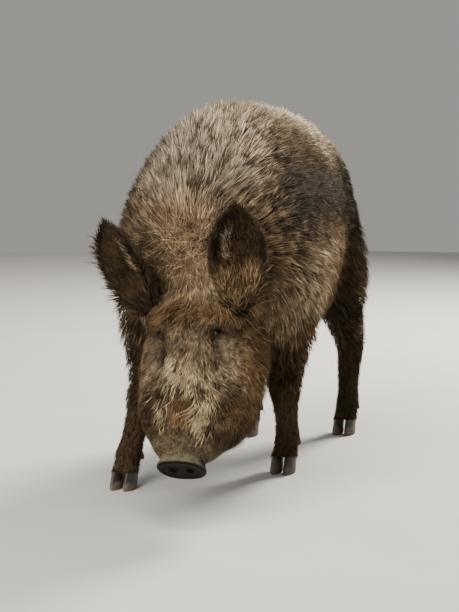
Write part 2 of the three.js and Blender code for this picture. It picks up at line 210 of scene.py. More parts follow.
# at, y, z, pitch, half width, above, below, fullness above and below, x, yaw, roll
TRUNK = np.array([
    [0, 738, 600, -20, 14, 16, 16, 2, 2, 0, 0, 0],
    [30, 718, 592, -14, 82, 116, 98, 2, 2, 0, 0, 0],
    [90, 660, 585, -8, 134, 194, 176, 2.1, 2, 0, 0, 0],
    [180, 570, 575, -4, 158, 242, 230, 2.2, 2, 0, 0, 0],
    [300, 440, 565, 0, 174, 283, 268, 2.3, 2, 0, 0, 0],
    [440, 300, 560, 0, 198, 310, 284, 2.25, 2.1, 0, 0, 0],
    [590, 150, 560, 2, 218, WITHERS - 562, 560 - CHEST_FLOOR, 2.05, 2.3, 0, 0, 0],
    [730, 10, 560, 6, 228, WITHERS - 559, 272, 1.9, 2.5, 0, 0, 0],
    [850, -105, 550, 14, 222, 304, 240, 1.8, 2.6, 0, 2, 0],
    [960, -200, 525, 26, 202, 250, 205, 1.8, 2.5, 6, 5, 0],
    [1040, -268, 490, 38, 172, 202, 172, 1.9, 2.2, 22, 6, 4],
])
# along the head, half width, above, below, drop of the widest level, fullness above and below
HEAD = np.array([
    [0, 136, 122, 120, 26, 2, 2],
    [50, 138, 118, 118, 30, 2, 2],
    [100, 142, 106, 116, 32, 1.9, 2],
    [150, 146, 96, 114, 34, 1.8, 2],
    [200, 147, 84, 112, 32, 1.8, 2],
    [250, 134, 72, 102, 28, 1.9, 2],
    [300, 106, 60, 80, 20, 2, 2.2],
    [345, 74, 52, 54, 10, 2.2, 2.2],
    [HEAD_LENGTH, 52, 45, 41, 2, 2.2, 2.2],
])
# at, coat at the top, upper side, side, lower side and underneath
COAT_DEPTH = np.array([
    [0, 5, 5, 5, 5, 5],
    [30, 22, 20, 18, 18, 18],
    [90, 30, 26, 22, 22, 22],
    [300, 38, 30, 24, 24, 26],
    [590, 44, 34, 26, 26, 30],
    [730, 46, 36, 28, 28, 30],
    [850, 44, 36, 28, 28, 30],
    [960, 40, 34, 30, 30, 30],
    [1040, 34, 32, 32, 32, 30],
    [HEAD_START, 28, 27, 32, 32, 28],
    [HEAD_START + 50, 24, 16, 34, 34, 28],
    [HEAD_START + 100, 15, 7, 34, 34, 28],
    [HEAD_START + 150, 6, 6, 28, 34, 26],
    [HEAD_START + 200, 5, 6, 22, 30, 22],
    [HEAD_START + 250, 5, 5, 14, 20, 15],
    [HEAD_START + 300, 4, 5, 8, 12, 10],
    [HEAD_START + 345, 3, 4, 5, 7, 6],
    [HEAD_START + HEAD_LENGTH, 3, 3, 3, 3, 3],
])
PLACE, WIDE, ABOVE, BELOW, FULL_ABOVE, FULL_BELOW = slice(0, 3), 6, 7, 8, 9, 10
print("stations:", len(TRUNK), "on the trunk and", len(HEAD), "on the head")


# %% Stations to rings
def stations(at, x, y, z, pitch, yaw, roll, wide, above, below, full_above=2, full_below=2):
    """One row for each station: place first, then centre, angles, sizes and fullness."""
    return np.stack(np.broadcast_arrays(
        at, x, y, z, pitch, yaw, roll, wide, above, below, full_above, full_below), -1).astype(float)


def body_stations():
    """The trunk's table, followed by the head's, whose rings are square to the head's own axis."""
    at, y, z, pitch, wide, above, below, fa, fb, x, yaw, roll = TRUNK.T
    trunk = stations(at, x, y, z, pitch, yaw, roll, wide, above, below, fa, fb)
    s, wide, above, below, drop, fa, fb = HEAD.T
    middle = POLL + np.stack([s, 0 * s, -drop], 1) @ HEAD_TURN
    head = stations(HEAD_START + s, *middle.T, HEAD_PITCH, HEAD_YAW, HEAD_ROLL, wide, above, below, fa, fb)
    return np.concatenate([trunk, head])


def level_of(angle):
    """Degrees over the widest level of a section: 90 on top, -90 underneath."""
    return np.degrees(np.arctan2(np.sin(angle), np.abs(np.cos(angle))))


def by_level(table, at, angle):
    """A table's value at a place along the body and round it, smooth between the five levels."""
    step = (90 - level_of(angle)) / 45
    low = np.clip(np.floor(step).astype(int), 0, 3)
    part = smooth(0, 1, step - low)
    columns = through(table[:, 0], table[:, 1:], at.ravel()).reshape(*at.shape, 5)
    pick = [np.take_along_axis(columns, (low + k)[..., None], -1)[..., 0] for k in (0, 1)]
    return pick[0] * (1 - part) + pick[1] * part


def loft(table, at, angle, depth=None):
    """Rings of points: centre + side * wide * cos^k + up * high * sin^k, moved in by the coat's depth
    along the section's own outward direction. Depth is a table over at, from top to underneath."""
    row = through(table[:, 0], table[:, 1:], at)
    turn = axes(row[:, 3], row[:, 4], row[:, 5])
    c, d = np.cos(angle)[None], np.sin(angle)[None]
    wide = row[:, WIDE, None]
    high = np.where(d > 0, row[:, ABOVE, None], row[:, BELOW, None])
    power = 2 / np.where(d > 0, row[:, FULL_ABOVE, None], row[:, FULL_BELOW, None])
    across, rise = wide * powered(c, power), high * powered(d, power)
    if depth is not None:
        inset = by_level(depth, *np.broadcast_arrays(at[:, None], angle[None]))
        inset = np.minimum(inset, 0.45 * np.minimum(wide, high))
        out = unit(np.stack([across / wide**2, rise / high**2], -1))
        across, rise = across - inset * out[..., 0], rise - inset * out[..., 1]
    return row[:, None, PLACE] + across[..., None] * turn[1][:, None] + rise[..., None] * turn[2][:, None]


# %% [markdown]
# ## Meshes from arrays
# Every new piece starts as an array of points and one or more arrays of faces. A closed loft joins
# neighbouring rings with four-sided faces and closes each end on its own centre.

# %% Mesh helpers
def new_mesh(name, points, *faces):
    """A smooth mesh object from an (n, 3) array and arrays of faces of three or four corners."""
    sizes = np.concatenate([np.full(len(f), f.shape[1]) for f in faces])
    corners = np.concatenate([f.ravel() for f in faces]).astype(np.int32)
    mesh = bpy.data.meshes.new(name)
    mesh.vertices.add(len(points))
    mesh.vertices.foreach_set("co", np.asarray(points, np.float32).ravel())
    mesh.loops.add(len(corners))
    mesh.loops.foreach_set("vertex_index", corners)
    mesh.polygons.add(len(sizes))
    mesh.polygons.foreach_set("loop_start", (np.cumsum(sizes) - sizes).astype(np.int32))
    mesh.polygons.foreach_set("use_smooth", np.ones(len(sizes), bool))
    mesh.update(calc_edges=True)
    mesh.validate()
    piece = bpy.data.objects.new(name, mesh)
    bpy.context.scene.collection.objects.link(piece)
    return piece


def tube_faces(rings, sides):
    """Quads between rings of equal count, and a fan on the centre of each end. The two centres are
    the last two points."""
    i, j = np.meshgrid(np.arange(rings - 1), np.arange(sides), indexing="ij")
    a, b = (i * sides + j).ravel(), (i * sides + (j + 1) % sides).ravel()
    quads = np.stack([a, b, b + sides, a + sides], 1)
    j = np.arange(sides)
    k, end, first = (j + 1) % sides, (rings - 1) * sides, rings * sides
    fans = np.concatenate([
        np.stack([np.full(sides, first), k, j], 1),
        np.stack([np.full(sides, first + 1), end + j, end + k], 1)])
    return quads, fans


def closed_points(grid):
    """The grid's points, followed by the centres of its first and last ring."""
    return np.concatenate([grid.reshape(-1, 3), grid[:1].mean(1), grid[-1:].mean(1)])


def outward(points, faces):
    """Faces turned so that the volume they enclose is positive."""
    quads, fans = faces
    tri = np.concatenate([quads[:, :3], quads[:, [0, 2, 3]], fans])
    a, b, c = points[tri[:, 0]], points[tri[:, 1]], points[tri[:, 2]]
    turned = np.einsum("ij,ij->i", a, np.cross(b, c)).sum() < 0
    return (quads[:, ::-1], fans[:, ::-1]) if turned else faces


def closed_loft(name, grid):
    """A closed piece from an array of rings."""
    points = closed_points(grid)
    return new_mesh(name, points, *outward(points, tube_faces(*grid.shape[:2])))


def coordinates(piece):
    """A piece's points as an (n, 3) array."""
    flat = np.empty(len(piece.data.vertices) * 3, np.float32)
    piece.data.vertices.foreach_get("co", flat)
    return flat.reshape(-1, 3).astype(float)


# %% [markdown]
# ## The head under the coat
# A section table gives only a smooth cone. The forms that make a boar's head are pushed in and out of
# it as soft strokes: brow, temple, cheekbone, the hollow before the eye, the swelling over the canine
# root, the mouth and the creases behind the snout. A stroke fades with distance as a bell curve, and
# each is made on both sides.

# %% Strokes of the face
# centre (along, out, up), reach along the same axes, push along the same axes
STROKES = {
    "frontal bone": [(112, 22, 62), (46, 28, 34), (0, 0, 4)],
    "orbit": [(108, 48, 58), (34, 28, 30), (0, 1, 6)],
    "brow ridge": [(88, 50, 66), (20, 24, 22), (4, 0, 6)],
    "temple": [(96, 104, 30), (26, 16, 22), (0, -4, -6)],
    "eye socket": [(112, 82, 44), (24, 18, 22), (0, -4, -3)],
    "cheekbone": [(146, 100, 12), (46, 20, 20), (0, 7, 6)],
    "tear groove": [(146, 50, 48), (24, 8, 16), (0, -2, -5)],
    "bridge": [(150, 20, 56), (44, 22, 22), (0, 0, 4)],
    "hollow before the eye": [(190, 60, 30), (36, 18, 22), (0, -6, -6)],
    "nasal bone": [(240, 18, 42), (90, 16, 20), (0, 0, 5)],
    "canine root": [(282, 62, -6), (26, 18, 20), (0, 8, 3)],
    "cheek muscle": [(120, 96, -50), (60, 26, 40), (0, 6, 0)],
    "upper lip": [(322, 48, -36), (26, 14, 12), (0, 5, -3)],
    "lower lip": [(300, 46, -62), (34, 14, 12), (0, -5, 3)],
    "chin": [(300, 0, -72), (34, 30, 16), (-4, 0, 2)],
}
MOUTH = {"back": 208.0, "front": 368.0, "up": (-50.0, -34.0), "deep": 7.0, "half": 3.2}
CREASES = {"first": 340.0, "spacing": 7.0, "fade": 9.0, "deep": 0.9}
MUZZLE_END = {"from": 346.0, "to": 372.0, "share": 0.10}  # narrower where it runs into the disc
print("strokes on each side of the face:", len(STROKES))


def mouth_height(along):
    """The mouth line rises from its corner towards the snout, with a slight smile."""
    t = np.clip((along - MOUTH["back"]) / (MOUTH["front"] - MOUTH["back"]), 0, 1)
    return MOUTH["up"][0] + (MOUTH["up"][1] - MOUTH["up"][0]) * t + 5 * (1 - t) ** 6


def sculpted(points):
    """Points of the head, pushed by every stroke on both sides, then cut by the mouth line and
    creased behind the snout."""
    h = in_head(points)
    moved = h.copy()
    for centre, reach, push in STROKES.values():
        for way in (-1, 1):
            middle = np.array([centre[0], way * centre[1], centre[2]])
            moved += bell(h, middle, reach)[..., None] * (np.array(push) * (1, way, 1))
    along, left, rise = h[..., 0], h[..., 1], h[..., 2]
    outwards = unit(np.stack([0 * along, left, rise + 15], -1))
    open_part = smooth(MOUTH["back"] - 6, MOUTH["back"] + 8, along) * (1 - smooth(360, 372, along))
    slit = hump(rise, mouth_height(along), MOUTH["half"]) * open_part
    moved -= (slit * MOUTH["deep"])[..., None] * outwards
    wander = 2.4 * np.sin(left / 13 + 0.8) + 1.3 * np.sin(left / 5.5)
    wave = np.cos((along - CREASES["first"] + wander) / CREASES["spacing"] * 2 * np.pi)
    creased = smooth(CREASES["first"] - 2 * CREASES["fade"], CREASES["first"] + 6, along)
    creased *= smooth(-30, 0, rise) * (1 - smooth(368, 374, along))
    moved += (wave * creased * CREASES["deep"])[..., None] * outwards
    narrow = MUZZLE_END["share"] * smooth(MUZZLE_END["from"], MUZZLE_END["to"], along)
    moved[..., 1:] *= (1 - narrow)[..., None]
    return on_head(moved)


# %% [markdown]
# ## Body, legs, ears and tail as lofts
# Each part is a loft of its own with fine rings, closer together on the head. They are joined
# afterwards, and the coat takes its roots and its lie from the same lofts.

# %% The body loft
def angles_for(upper, lower):
    """Angles round a section that starts at the boar's left, closer together on its upper half."""
    return np.concatenate([np.arange(upper) / upper * np.pi, np.pi + np.arange(lower) / lower * np.pi])


def body_rings():
    """Places of the rings: each stretch of the body has its own spacing, finest on the face."""
    stretches = [(0, 12, 3), (12, 60, 6), (60, 1040, 11), (1040, HEAD_START + 50, 6)]
    at = np.concatenate([np.arange(a, b, step) for a, b, step in stretches])
    face = np.arange(HEAD_START + 50, HEAD_START + HEAD_LENGTH, 2.6)
    return np.concatenate([at, face, [HEAD_START + HEAD_LENGTH]])


body_at = body_rings()
body_angle = angles_for(150, 84)
body_grid = placed(loft(body_stations(), body_at, body_angle, COAT_DEPTH))
face_rings = body_at > HEAD_START - 40
body_grid[face_rings] = sculpted(body_grid[face_rings])
print("body loft:", body_grid.shape)

# %% Tables of the legs
LEG_OUT = {"fore": 108.0, "hind": 120.0}
LEG_PIVOT = {"fore": 560.0, "hind": 620.0}
STANCE = {  # how far back and out of its joint each foot stands, and the bulge of the loaded arm
    "foreleg_left": (110, 0, 0), "foreleg_right": (-175, 80, 28),
    "hindleg_left": (30, 0, 0), "hindleg_right": (-70, 0, 0),
}
BULGE_AT, BULGE_REACH = 410.0, 190.0
FOOT_HEIGHT, HOOF_HEIGHT = 80.0, 40.0
# height, how far in from the leg's column, y, half width, before, behind, depth of the coat
LEG_TABLE = {
    "fore": np.array([
        [700, 50, 30, 40, 40, 40, 16],
        [650, 30, 22, 84, 100, 100, 26],
        [550, 8, 5, 112, 132, 130, 28],
        [440, 0, 8, 110, 112, 122, 28],
        [360, -6, 20, 94, 86, 98, 27],
        [300, -4, 22, 72, 66, 72, 22],
        [240, 0, 16, 51, 50, 52, 13],
        [205, 0, 10, 44, 45, 44, 8],
        [165, 0, 10, 36, 38, 37, 7],
        [115, 0, 10, 31, 34, 35, 6],
        [82, 0, 6, 33, 36, 40, 6],
        [60, 0, -4, 32, 36, 36, 5],
        [HOOF_HEIGHT, 0, -16, 33, 38, 34, 4],
    ]),
    "hind": np.array([
        [720, 78, 575, 40, 50, 50, 16],
        [680, 68, 578, 72, 116, 92, 26],
        [600, 46, 575, 102, 160, 124, 28],
        [490, 28, 565, 104, 154, 124, 28],
        [400, 14, 570, 88, 116, 100, 26],
        [320, 8, 606, 60, 72, 70, 18],
        [265, 2, 640, 46, 52, 56, 12],
        [225, 0, 655, 38, 46, 46, 9],
        [170, 0, 645, 34, 38, 36, 7],
        [115, 0, 633, 31, 34, 34, 6],
        [82, 0, 625, 33, 36, 40, 6],
        [60, 0, 614, 32, 36, 36, 5],
        [HOOF_HEIGHT, 0, 602, 33, 38, 34, 4],
    ]),
}


# %% The leg lofts
def end_and_way(name):
    """Which end of the body a leg belongs to, fore or hind, and 1 on the left or -1 on the right."""
    return name[:4], 1 if name.endswith("left") else -1


def leg_stations(name):
    """A leg's stations from the top down. Below its pivot it swings out to its own stance."""
    end, way = end_and_way(name)
    z, inward, y, wide, before, behind, coat = LEG_TABLE[end].T
    back, out, bulge = STANCE[name]
    pivot = LEG_PIVOT[end]
    swing = np.clip((pivot - z) / (pivot - FOOT_HEIGHT), 0, 1)
    swell = bulge / 2 * np.maximum(0, 1 - np.abs(z - BULGE_AT) / BULGE_REACH)
    x = way * (LEG_OUT[end] - inward + out * swing + swell)
    at = z[0] - z
    table = stations(at, x, y + back * swing, z, 90, 0, 0, wide + swell, before, behind)
    return table, np.stack([at] + [coat] * 5, 1)


def leg_grid(name):
    """Rings down the leg, with the knee, the fetlock and the cleft between the toes worked in."""
    table, depth = leg_stations(name)
    at = np.concatenate([np.arange(0, 440, 10), np.arange(440, table[-1, 0], 5), [table[-1, 0]]])
    angle = circle(56)
    grid = loft(table, at, angle, depth)
    height = table[0, 3] - at
    middle = grid.mean(1, keepdims=True)
    cleft = 1 - smooth(HOOF_HEIGHT, HOOF_HEIGHT + 34, height)[:, None]
    pinch = np.abs(np.sin(angle))[None] ** 10 * cleft * 0.34
    return placed(middle + (grid - middle) * (1 - pinch)[..., None]), at, angle


LEG_NAMES = list(STANCE)
legs = {name: leg_grid(name) for name in LEG_NAMES}
print("leg lofts:", {name: g[0].shape for name, g in legs.items()})

# %% [markdown]
# ## Ears
# A boar's ear is a cupped leaf on a fleshy root. Each row of its table is a place along the ear with
# the half width, the depth of the cup and the thickness of the leaf, hair included. The leaf is thin,
# so the skin takes a share of the thickness and the rim hair takes the rest.

# %% Ear lofts
EAR_LENGTH = 176.0
EAR_TABLE = np.array([
    [-0.32, 24, 24, 28],
    [-0.1, 35, 32, 36],
    [0.08, 45, 34, 32],
    [0.26, 57, 34, 18],
    [0.48, 60, 30, 14],
    [0.7, 49, 22, 12],
    [0.87, 29, 14, 10],
    [0.97, 11, 7, 7],
    [1, 3, 3, 4],
])
EARS = {  # root, direction of the point and of the open side, in head coordinates
    "left": ([14, 106, 72], [-0.7, 0.17, 0.77], [0.4, 0.5, 0.78]),
    "right": ([16, -117, 64], [-0.6, -0.36, 0.8], [0.34, -0.42, 0.85]),
}
EAR_HAIR = 5.0  # what the hair adds to the half width and to each face at the root
EAR_BEND = 18.0  # how far the tip leans back from the open side


def ear_grid(hand):
    """Rings up the ear: the back is width * sin a across and -cup * cos a deep, the front is the same
    curve less the thickness, and the middle leans back with the square of the height."""
    root, point, opening = (np.array(v, float) for v in EARS[hand])
    tall = unit(point)
    out = unit(opening - tall * (opening @ tall))
    tall, out = tall @ HEAD_TURN, out @ HEAD_TURN
    across = np.cross(tall, out)
    t = np.concatenate([np.linspace(-0.32, 0.94, 64), np.linspace(0.95, 0.995, 10)])
    wide, cup, thick = through(EAR_TABLE[:, 0], EAR_TABLE[:, 1:], t).T
    hair = EAR_HAIR * (1 - 0.6 * smooth(0.3, 1, t))
    wide, cup = np.maximum(wide - hair, 1.2), np.maximum(cup - 0.5 * hair, 0.5)
    thick = np.maximum(thick - 1.4 * hair, 2.2)
    angle = circle(56)
    front = np.sin(angle) > 0
    deep = np.where(front[None], cup[:, None] - thick[:, None], cup[:, None])
    c = np.abs(np.sin(angle))[None]
    middle = POLL + root @ HEAD_TURN + EAR_LENGTH * t[:, None] * tall - EAR_BEND * (t**2)[:, None] * out
    grid = (middle[:, None] + (wide[:, None] * np.cos(angle)[None])[..., None] * across
            + (cup[:, None] / 2 - deep * c)[..., None] * out)
    return placed(grid), t, angle, out


ears = {hand: ear_grid(hand) for hand in EARS}

# %% Tail lofts
# at, y, z, radius of the flesh
TAIL_TABLE = np.array([
    [0, 715, 715, 11],
    [40, 750, 700, 10],
    [100, 772, 645, 8],
    [180, 780, 565, 7],
    [250, 782, 500, 6],
    [330, 784, 420, 4],
    [352, 784, 400, 2],
])


def tail_grid():
    """Rings of circles down the hanging tail, square to the line through their neighbours."""
    at, y, z, radius = TAIL_TABLE.T
    ahead = np.concatenate([TAIL_TABLE[1:], TAIL_TABLE[-1:]])
    behind = np.concatenate([TAIL_TABLE[:1], TAIL_TABLE[:-1]])
    tilt = np.degrees(np.arctan2(behind[:, 2] - ahead[:, 2], behind[:, 1] - ahead[:, 1]))
    table = stations(at, 0, y, z, tilt, 0, 0, radius, radius, radius)
    places = np.arange(0, at[-1] + 1, 4)
    angle = circle(20)
    return placed(loft(table, places, angle)), places, angle


tail = tail_grid()
print("ear lofts:", ears["left"][0].shape, "tail loft:", tail[0].shape)

# %% [markdown]
# ## One skin
# The lofts are closed solids, so exact unions make one skin of them with no seam. A union leaves a
# crease where a leg leaves the trunk. There the points move towards their neighbours' middle,
# most where both lofts are near, which gives the soft hollow of real skin over muscle.

# %% Join the lofts
def joined(piece, other):
    """The union of two closed pieces as the first piece's mesh."""
    join = piece.modifiers.new("join", "BOOLEAN")
    join.operation, join.solver, join.object = "UNION", "MANIFOLD", other
    graph = bpy.context.evaluated_depsgraph_get()
    mesh = bpy.data.meshes.new_from_object(piece.evaluated_get(graph))
    piece.modifiers.remove(join)
    old = piece.data
    piece.data = mesh
    bpy.data.meshes.remove(old)
    bpy.data.objects.remove(other)
    return piece


skin = closed_loft("skin", body_grid)
body_tree = BVHTree.FromObject(skin, bpy.context.evaluated_depsgraph_get())
limb_trees = {}
limbs = {name: made[0] for name, made in legs.items()}
limbs |= {f"ear_{hand}": made[0] for hand, made in ears.items()} | {"tail": tail[0]}
for name, grid in limbs.items():
    limb = closed_loft(name, grid)
    limb_trees[name] = BVHTree.FromObject(limb, bpy.context.evaluated_depsgraph_get())
    joined(skin, limb)
print("skin faces after the union:", len(skin.data.polygons))

# %% Soften the creases
def distances(tree, points, reach):
    """Distance from each point to a surface, or reach where it is further than that."""
    found = [tree.find_nearest(Vector(p), reach)[3] for p in points]
    return np.array([reach if d is None else d for d in found])


def relaxed(points, edges, weight, times):
    """Each round moves a point towards the mean of its neighbours by its own weight."""
    a, b = np.concatenate([edges, edges[:, ::-1]]).T
    count = np.maximum(np.bincount(a, minlength=len(points)), 1)[:, None]
    for _ in range(times):
        total = np.stack([np.bincount(a, points[b, k], len(points)) for k in range(3)], 1)
        points = points + weight[:, None] * (total / count - points)
    return points


def edges_of(piece):
    """Pairs of point numbers, one for each edge."""
    pairs = np.empty(len(piece.data.edges) * 2, np.int32)
    piece.data.edges.foreach_get("vertices", pairs)
    return pairs.reshape(-1, 2)


def write_points(piece, points):
    """Puts an (n, 3) array back into a piece's mesh."""
    piece.data.vertices.foreach_set("co", np.asarray(points, np.float32).ravel())
    piece.data.update()


HOLLOWS = {"leg": (0.055, 60), "ear": (0.014, 10), "tail": (0.016, 8)}  # reach in metres, rounds
points = coordinates(skin)
for name, grid in limbs.items():
    reach, rounds = next(hollow for kind, hollow in HOLLOWS.items() if kind in name)
    lo, hi = grid.reshape(-1, 3).min(0) - reach, grid.reshape(-1, 3).max(0) + reach
    near = np.flatnonzero(((points > lo) & (points < hi)).all(1))
    apart = distances(body_tree, points[near], reach) + distances(limb_trees[name], points[near], reach)
    weight = np.zeros(len(points))
    weight[near] = 0.7 * (1 - smooth(0.25 * reach, reach, apart))
    points = relaxed(points, edges_of(skin), weight, rounds)
write_points(skin, points)

# %% [markdown]
# ## Eyelids
# A boar's eye is a small dark slit under a heavy brow. The skin near each eyeball is cut finer, laid
# over a ball slightly larger than the eye, and pushed behind the eye inside an almond-shaped opening,
# whose long axis runs from the tear duct back and up towards the ear.

# %% Eyelids
LOOK = np.array([0.12, 0.66, 0.74])  # where the eye looks: along the head, outwards, up
SLIT = np.array([0.86, -0.34, 0.16])  # towards the tear duct
LID = {"thick": 1.2, "half": 12.8, "upper": 4.9, "lower": 5.1, "blend": (15.0, 26.0), "behind": 3.0}
# depth, distance from the look axis, width, and 1 above the slit or -1 below it
LID_CREASES = [(1.5, 10.5, 1.5, 1), (1.1, 14.5, 1.7, 1), (0.8, 12.5, 1.6, -1)]
LID_RIM = {"high": 0.8, "wide": 1.1}
TEAR_GROOVE = {"deep": 2.0, "half": 1.4}


def eye_axes(way):
    """The eye's middle in head coordinates, and its slit, height and look axes."""
    look = unit(LOOK * (1, way, 1))
    slit = SLIT * (1, way, 1)
    slit = unit(slit - look * (slit @ look))
    rise = np.cross(look, slit)
    rise *= np.sign(-rise[0])  # the upper lid lies on the side of the poll
    return EYE * (1, way, 1), np.stack([slit, rise, look])


def by_eye(points, way):
    """Points of the row's frame in one eye's own axes, in millimetres."""
    middle, turn = eye_axes(way)
    return (in_head(points) - middle) @ turn.T


def higher(a, b, soft):
    """The larger of two heights, rounded where they meet: (a + b + sqrt((a - b)^2 + soft^2)) / 2."""
    return (a + b + np.sqrt((a - b) ** 2 + soft**2)) / 2


def lidded(points, way):
    """Points near one eye, in the row's frame. With r the distance from the look axis, the lid is the
    ball sqrt(R^2 - r^2) where that stands above the face, with creases round it. A point inside the
    almond |y| < height * (1 - (x / half)^2) goes behind the eye."""
    middle, turn = eye_axes(way)
    local = by_eye(points, way)
    x, y, z = local.T
    r = np.hypot(x, y)
    ball = EYE_RADIUS + LID["thick"]
    dome = np.where(r < ball, np.sqrt(np.maximum(ball**2 - r**2, 0)), 2 * (ball - r))
    fade = smooth(*LID["blend"], r)
    lid = higher(dome, z, 3.0) * (1 - fade) + z * fade
    upper = smooth(-2, 3, y)
    for deep, distance, wide, above in LID_CREASES:
        lid -= deep * hump(r, distance, wide) * (upper if above > 0 else 1 - upper)
    almond = 1 - (x / LID["half"]) ** 2
    gap = np.where(y > 0, LID["upper"], LID["lower"]) * almond
    edge = np.abs(gap - np.abs(y)) * (almond > 0) + 9 * (almond <= 0)
    lid += LID_RIM["high"] * hump(edge, 0, LID_RIM["wide"])
    inside = smooth(-0.5, 0.9, gap - np.abs(y)) * (almond > 0)
    lid = lid * (1 - inside) - LID["behind"] * inside
    tear = hump(y, 0, TEAR_GROOVE["half"]) * smooth(8, 12, x) * (1 - smooth(20, 28, x))
    lid -= TEAR_GROOVE["deep"] * tear
    near = (r < LID["blend"][1]) & (z > -LID["blend"][1])
    local[:, 2] = np.where(near, lid, z)
    return on_head(local @ turn + middle)


# %% Cut the skin finer and shape the lids
def finer(piece, centres, reach):
    """Cuts in four every face whose middle lies within reach of one of the centres."""
    work = bmesh.new()
    work.from_mesh(piece.data)
    chosen = [e for e in work.edges
              if min(((e.verts[0].co + e.verts[1].co) / 2 - Vector(c)).length for c in centres) < reach]
    bmesh.ops.subdivide_edges(work, edges=chosen, cuts=1, use_grid_fill=True)
    work.to_mesh(piece.data)
    work.free()


EYE_REACH = 0.028
eye_centres = {way: on_head(EYE * (1, way, 1)) for way in (-1, 1)}
for reach in (EYE_REACH, 0.6 * EYE_REACH, 0.54 * EYE_REACH):
    finer(skin, list(eye_centres.values()), reach)
points = coordinates(skin)
for way, centre in eye_centres.items():
    near = np.flatnonzero(np.linalg.norm(points - centre, axis=1) < EYE_REACH * 1.1)
    points[near] = lidded(points[near], way)
write_points(skin, points)
skin.data.polygons.foreach_set("use_smooth", np.ones(len(skin.data.polygons), bool))
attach(skin, "root")
FLESH = ["trunk", "neck", "head", "jaw", "ear_left", "ear_right", "tail", "tail_tassel"]
FLESH += [f"{name}_{part}" for name in LEG_NAMES for part in ("upper", "lower")]
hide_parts(*FLESH)
print("skin:", len(points), "points,", len(skin.data.polygons), "faces")

# %% [markdown]
# ## Markings
# The same function colours the skin and the coat of body, face and legs, from a point's place alone. It
# gives four shares: pale for the sun-bleached mane, crown and nape, and partly as painted sunlight along
# the ridge of the back, warm for the brown of flank and cheek, straw for the bleached bristles across the
# muzzle, and dark for the near-black ears, legs, belly and brow, and partly as painted shade round the
# eyes, under the brows and ears, down the tear grooves, under the head and on the upper flank. The
# strands, the fringe and the hair of ears and tail bring shares of their own.

# %% Marks on the body and the face
# centre and reach, in the tables' own axes, and what the mark adds to pale, warm, straw and dark
BODY_MARKS = {
    "top of the neck": ((20, -375, 585), (75, 75, 85), (0.5, 0.35, 0, 0)),
    "throat": ((60, -260, 520), (90, 70, 90), (0, 0.35, 0, 0)),
}
# the same in head coordinates: along, left and up
FACE_MARKS = {
    "crown": ((0, 15, 84), (84, 66, 90), (0.8, 0.5, 0.2, 0)),
    "mop": ((48, 0, 64), (28, 110, 70), (0, 0.85, 0, 0)),
    "forelock": ((-14, 24, 76), (42, 22, 60), (0.4, 0, 0.75, 0)),
    "between the eyes": ((144, 8, 54), (44, 46, 60), (0.7, 0.4, 0.15, 0)),
    "patch": ((274, -2, 45), (36, 30, 40), (0, 0.85, 0, 0.1)),
    "right of the muzzle": ((250, -66, 28), (44, 28, 40), (0, 0, 0, 0.7)),
    "left of the muzzle": ((300, 52, 27), (30, 24, 36), (0, 0, 0, 0.3)),
}
# the same again, for marks on both sides: along, out and up
PAIRED_MARKS = {
    # inner brow: paler hair on the ridge inside each brow, partly painted light on the ridge
    "inner brow": ((128, 32, 62), (24, 15, 24), (0.5, 0, 0, 0)),
    "beside the eye": ((136, 86, 36), (34, 24, 40), (0.65, 0, 0, 0)),
    "upper cheek": ((190, 92, 22), (44, 26, 34), (0.65, 0, 0, 0)),
    # brow: dark hair over each eye, partly painted shade under the brow and the mop
    "brow": ((97, 60, 60), (13, 25, 30), (0, 0, 0, 0.75)),
    "temple": ((64, 116, 40), (34, 22, 50), (0, 0, 0, 0.75)),
    # tear line: painted shade down the tear groove below each eye's inner corner
    "tear line": ((142, 56, 48), (17, 6.5, 18), (0, 0, 0, 0.85)),
    # under the ear: painted shade at the root of each ear and on the neck below it
    "under the ear": ((-25, 140, 95), (46, 34, 54), (0, 0, 0, 0.95)),
}


print("marks:", len(BODY_MARKS), "on the body,", len(FACE_MARKS) + len(PAIRED_MARKS), "kinds on the face")


# %% Shares of the four colours
def body_place(points):
    """How high a point lies in its section, -1 to 1, and its place in the tables' own axes."""
    p = np.asarray(points) / MM + ORIGIN
    order = np.argsort(TRUNK[:, 1])
    y = TRUNK[order, 1]
    middle, above, below = (np.interp(p[:, 1], y, TRUNK[order, k]) for k in (2, 5, 6))
    off = p[:, 2] - middle
    return off / np.where(off > 0, above, below), p


def fringe_at(level, back):
    """1 in the middle of the bleached fringe on the lower flank, fading along and up the body."""
    return bell(np.stack([level, back], 1), (-0.38, -40), (0.3, 190))


def marked(points, marks):
    """The sum of every mark's bell curve times what it adds to the four shares."""
    return sum(np.outer(bell(points, centre, reach), adds) for centre, reach, adds in marks)


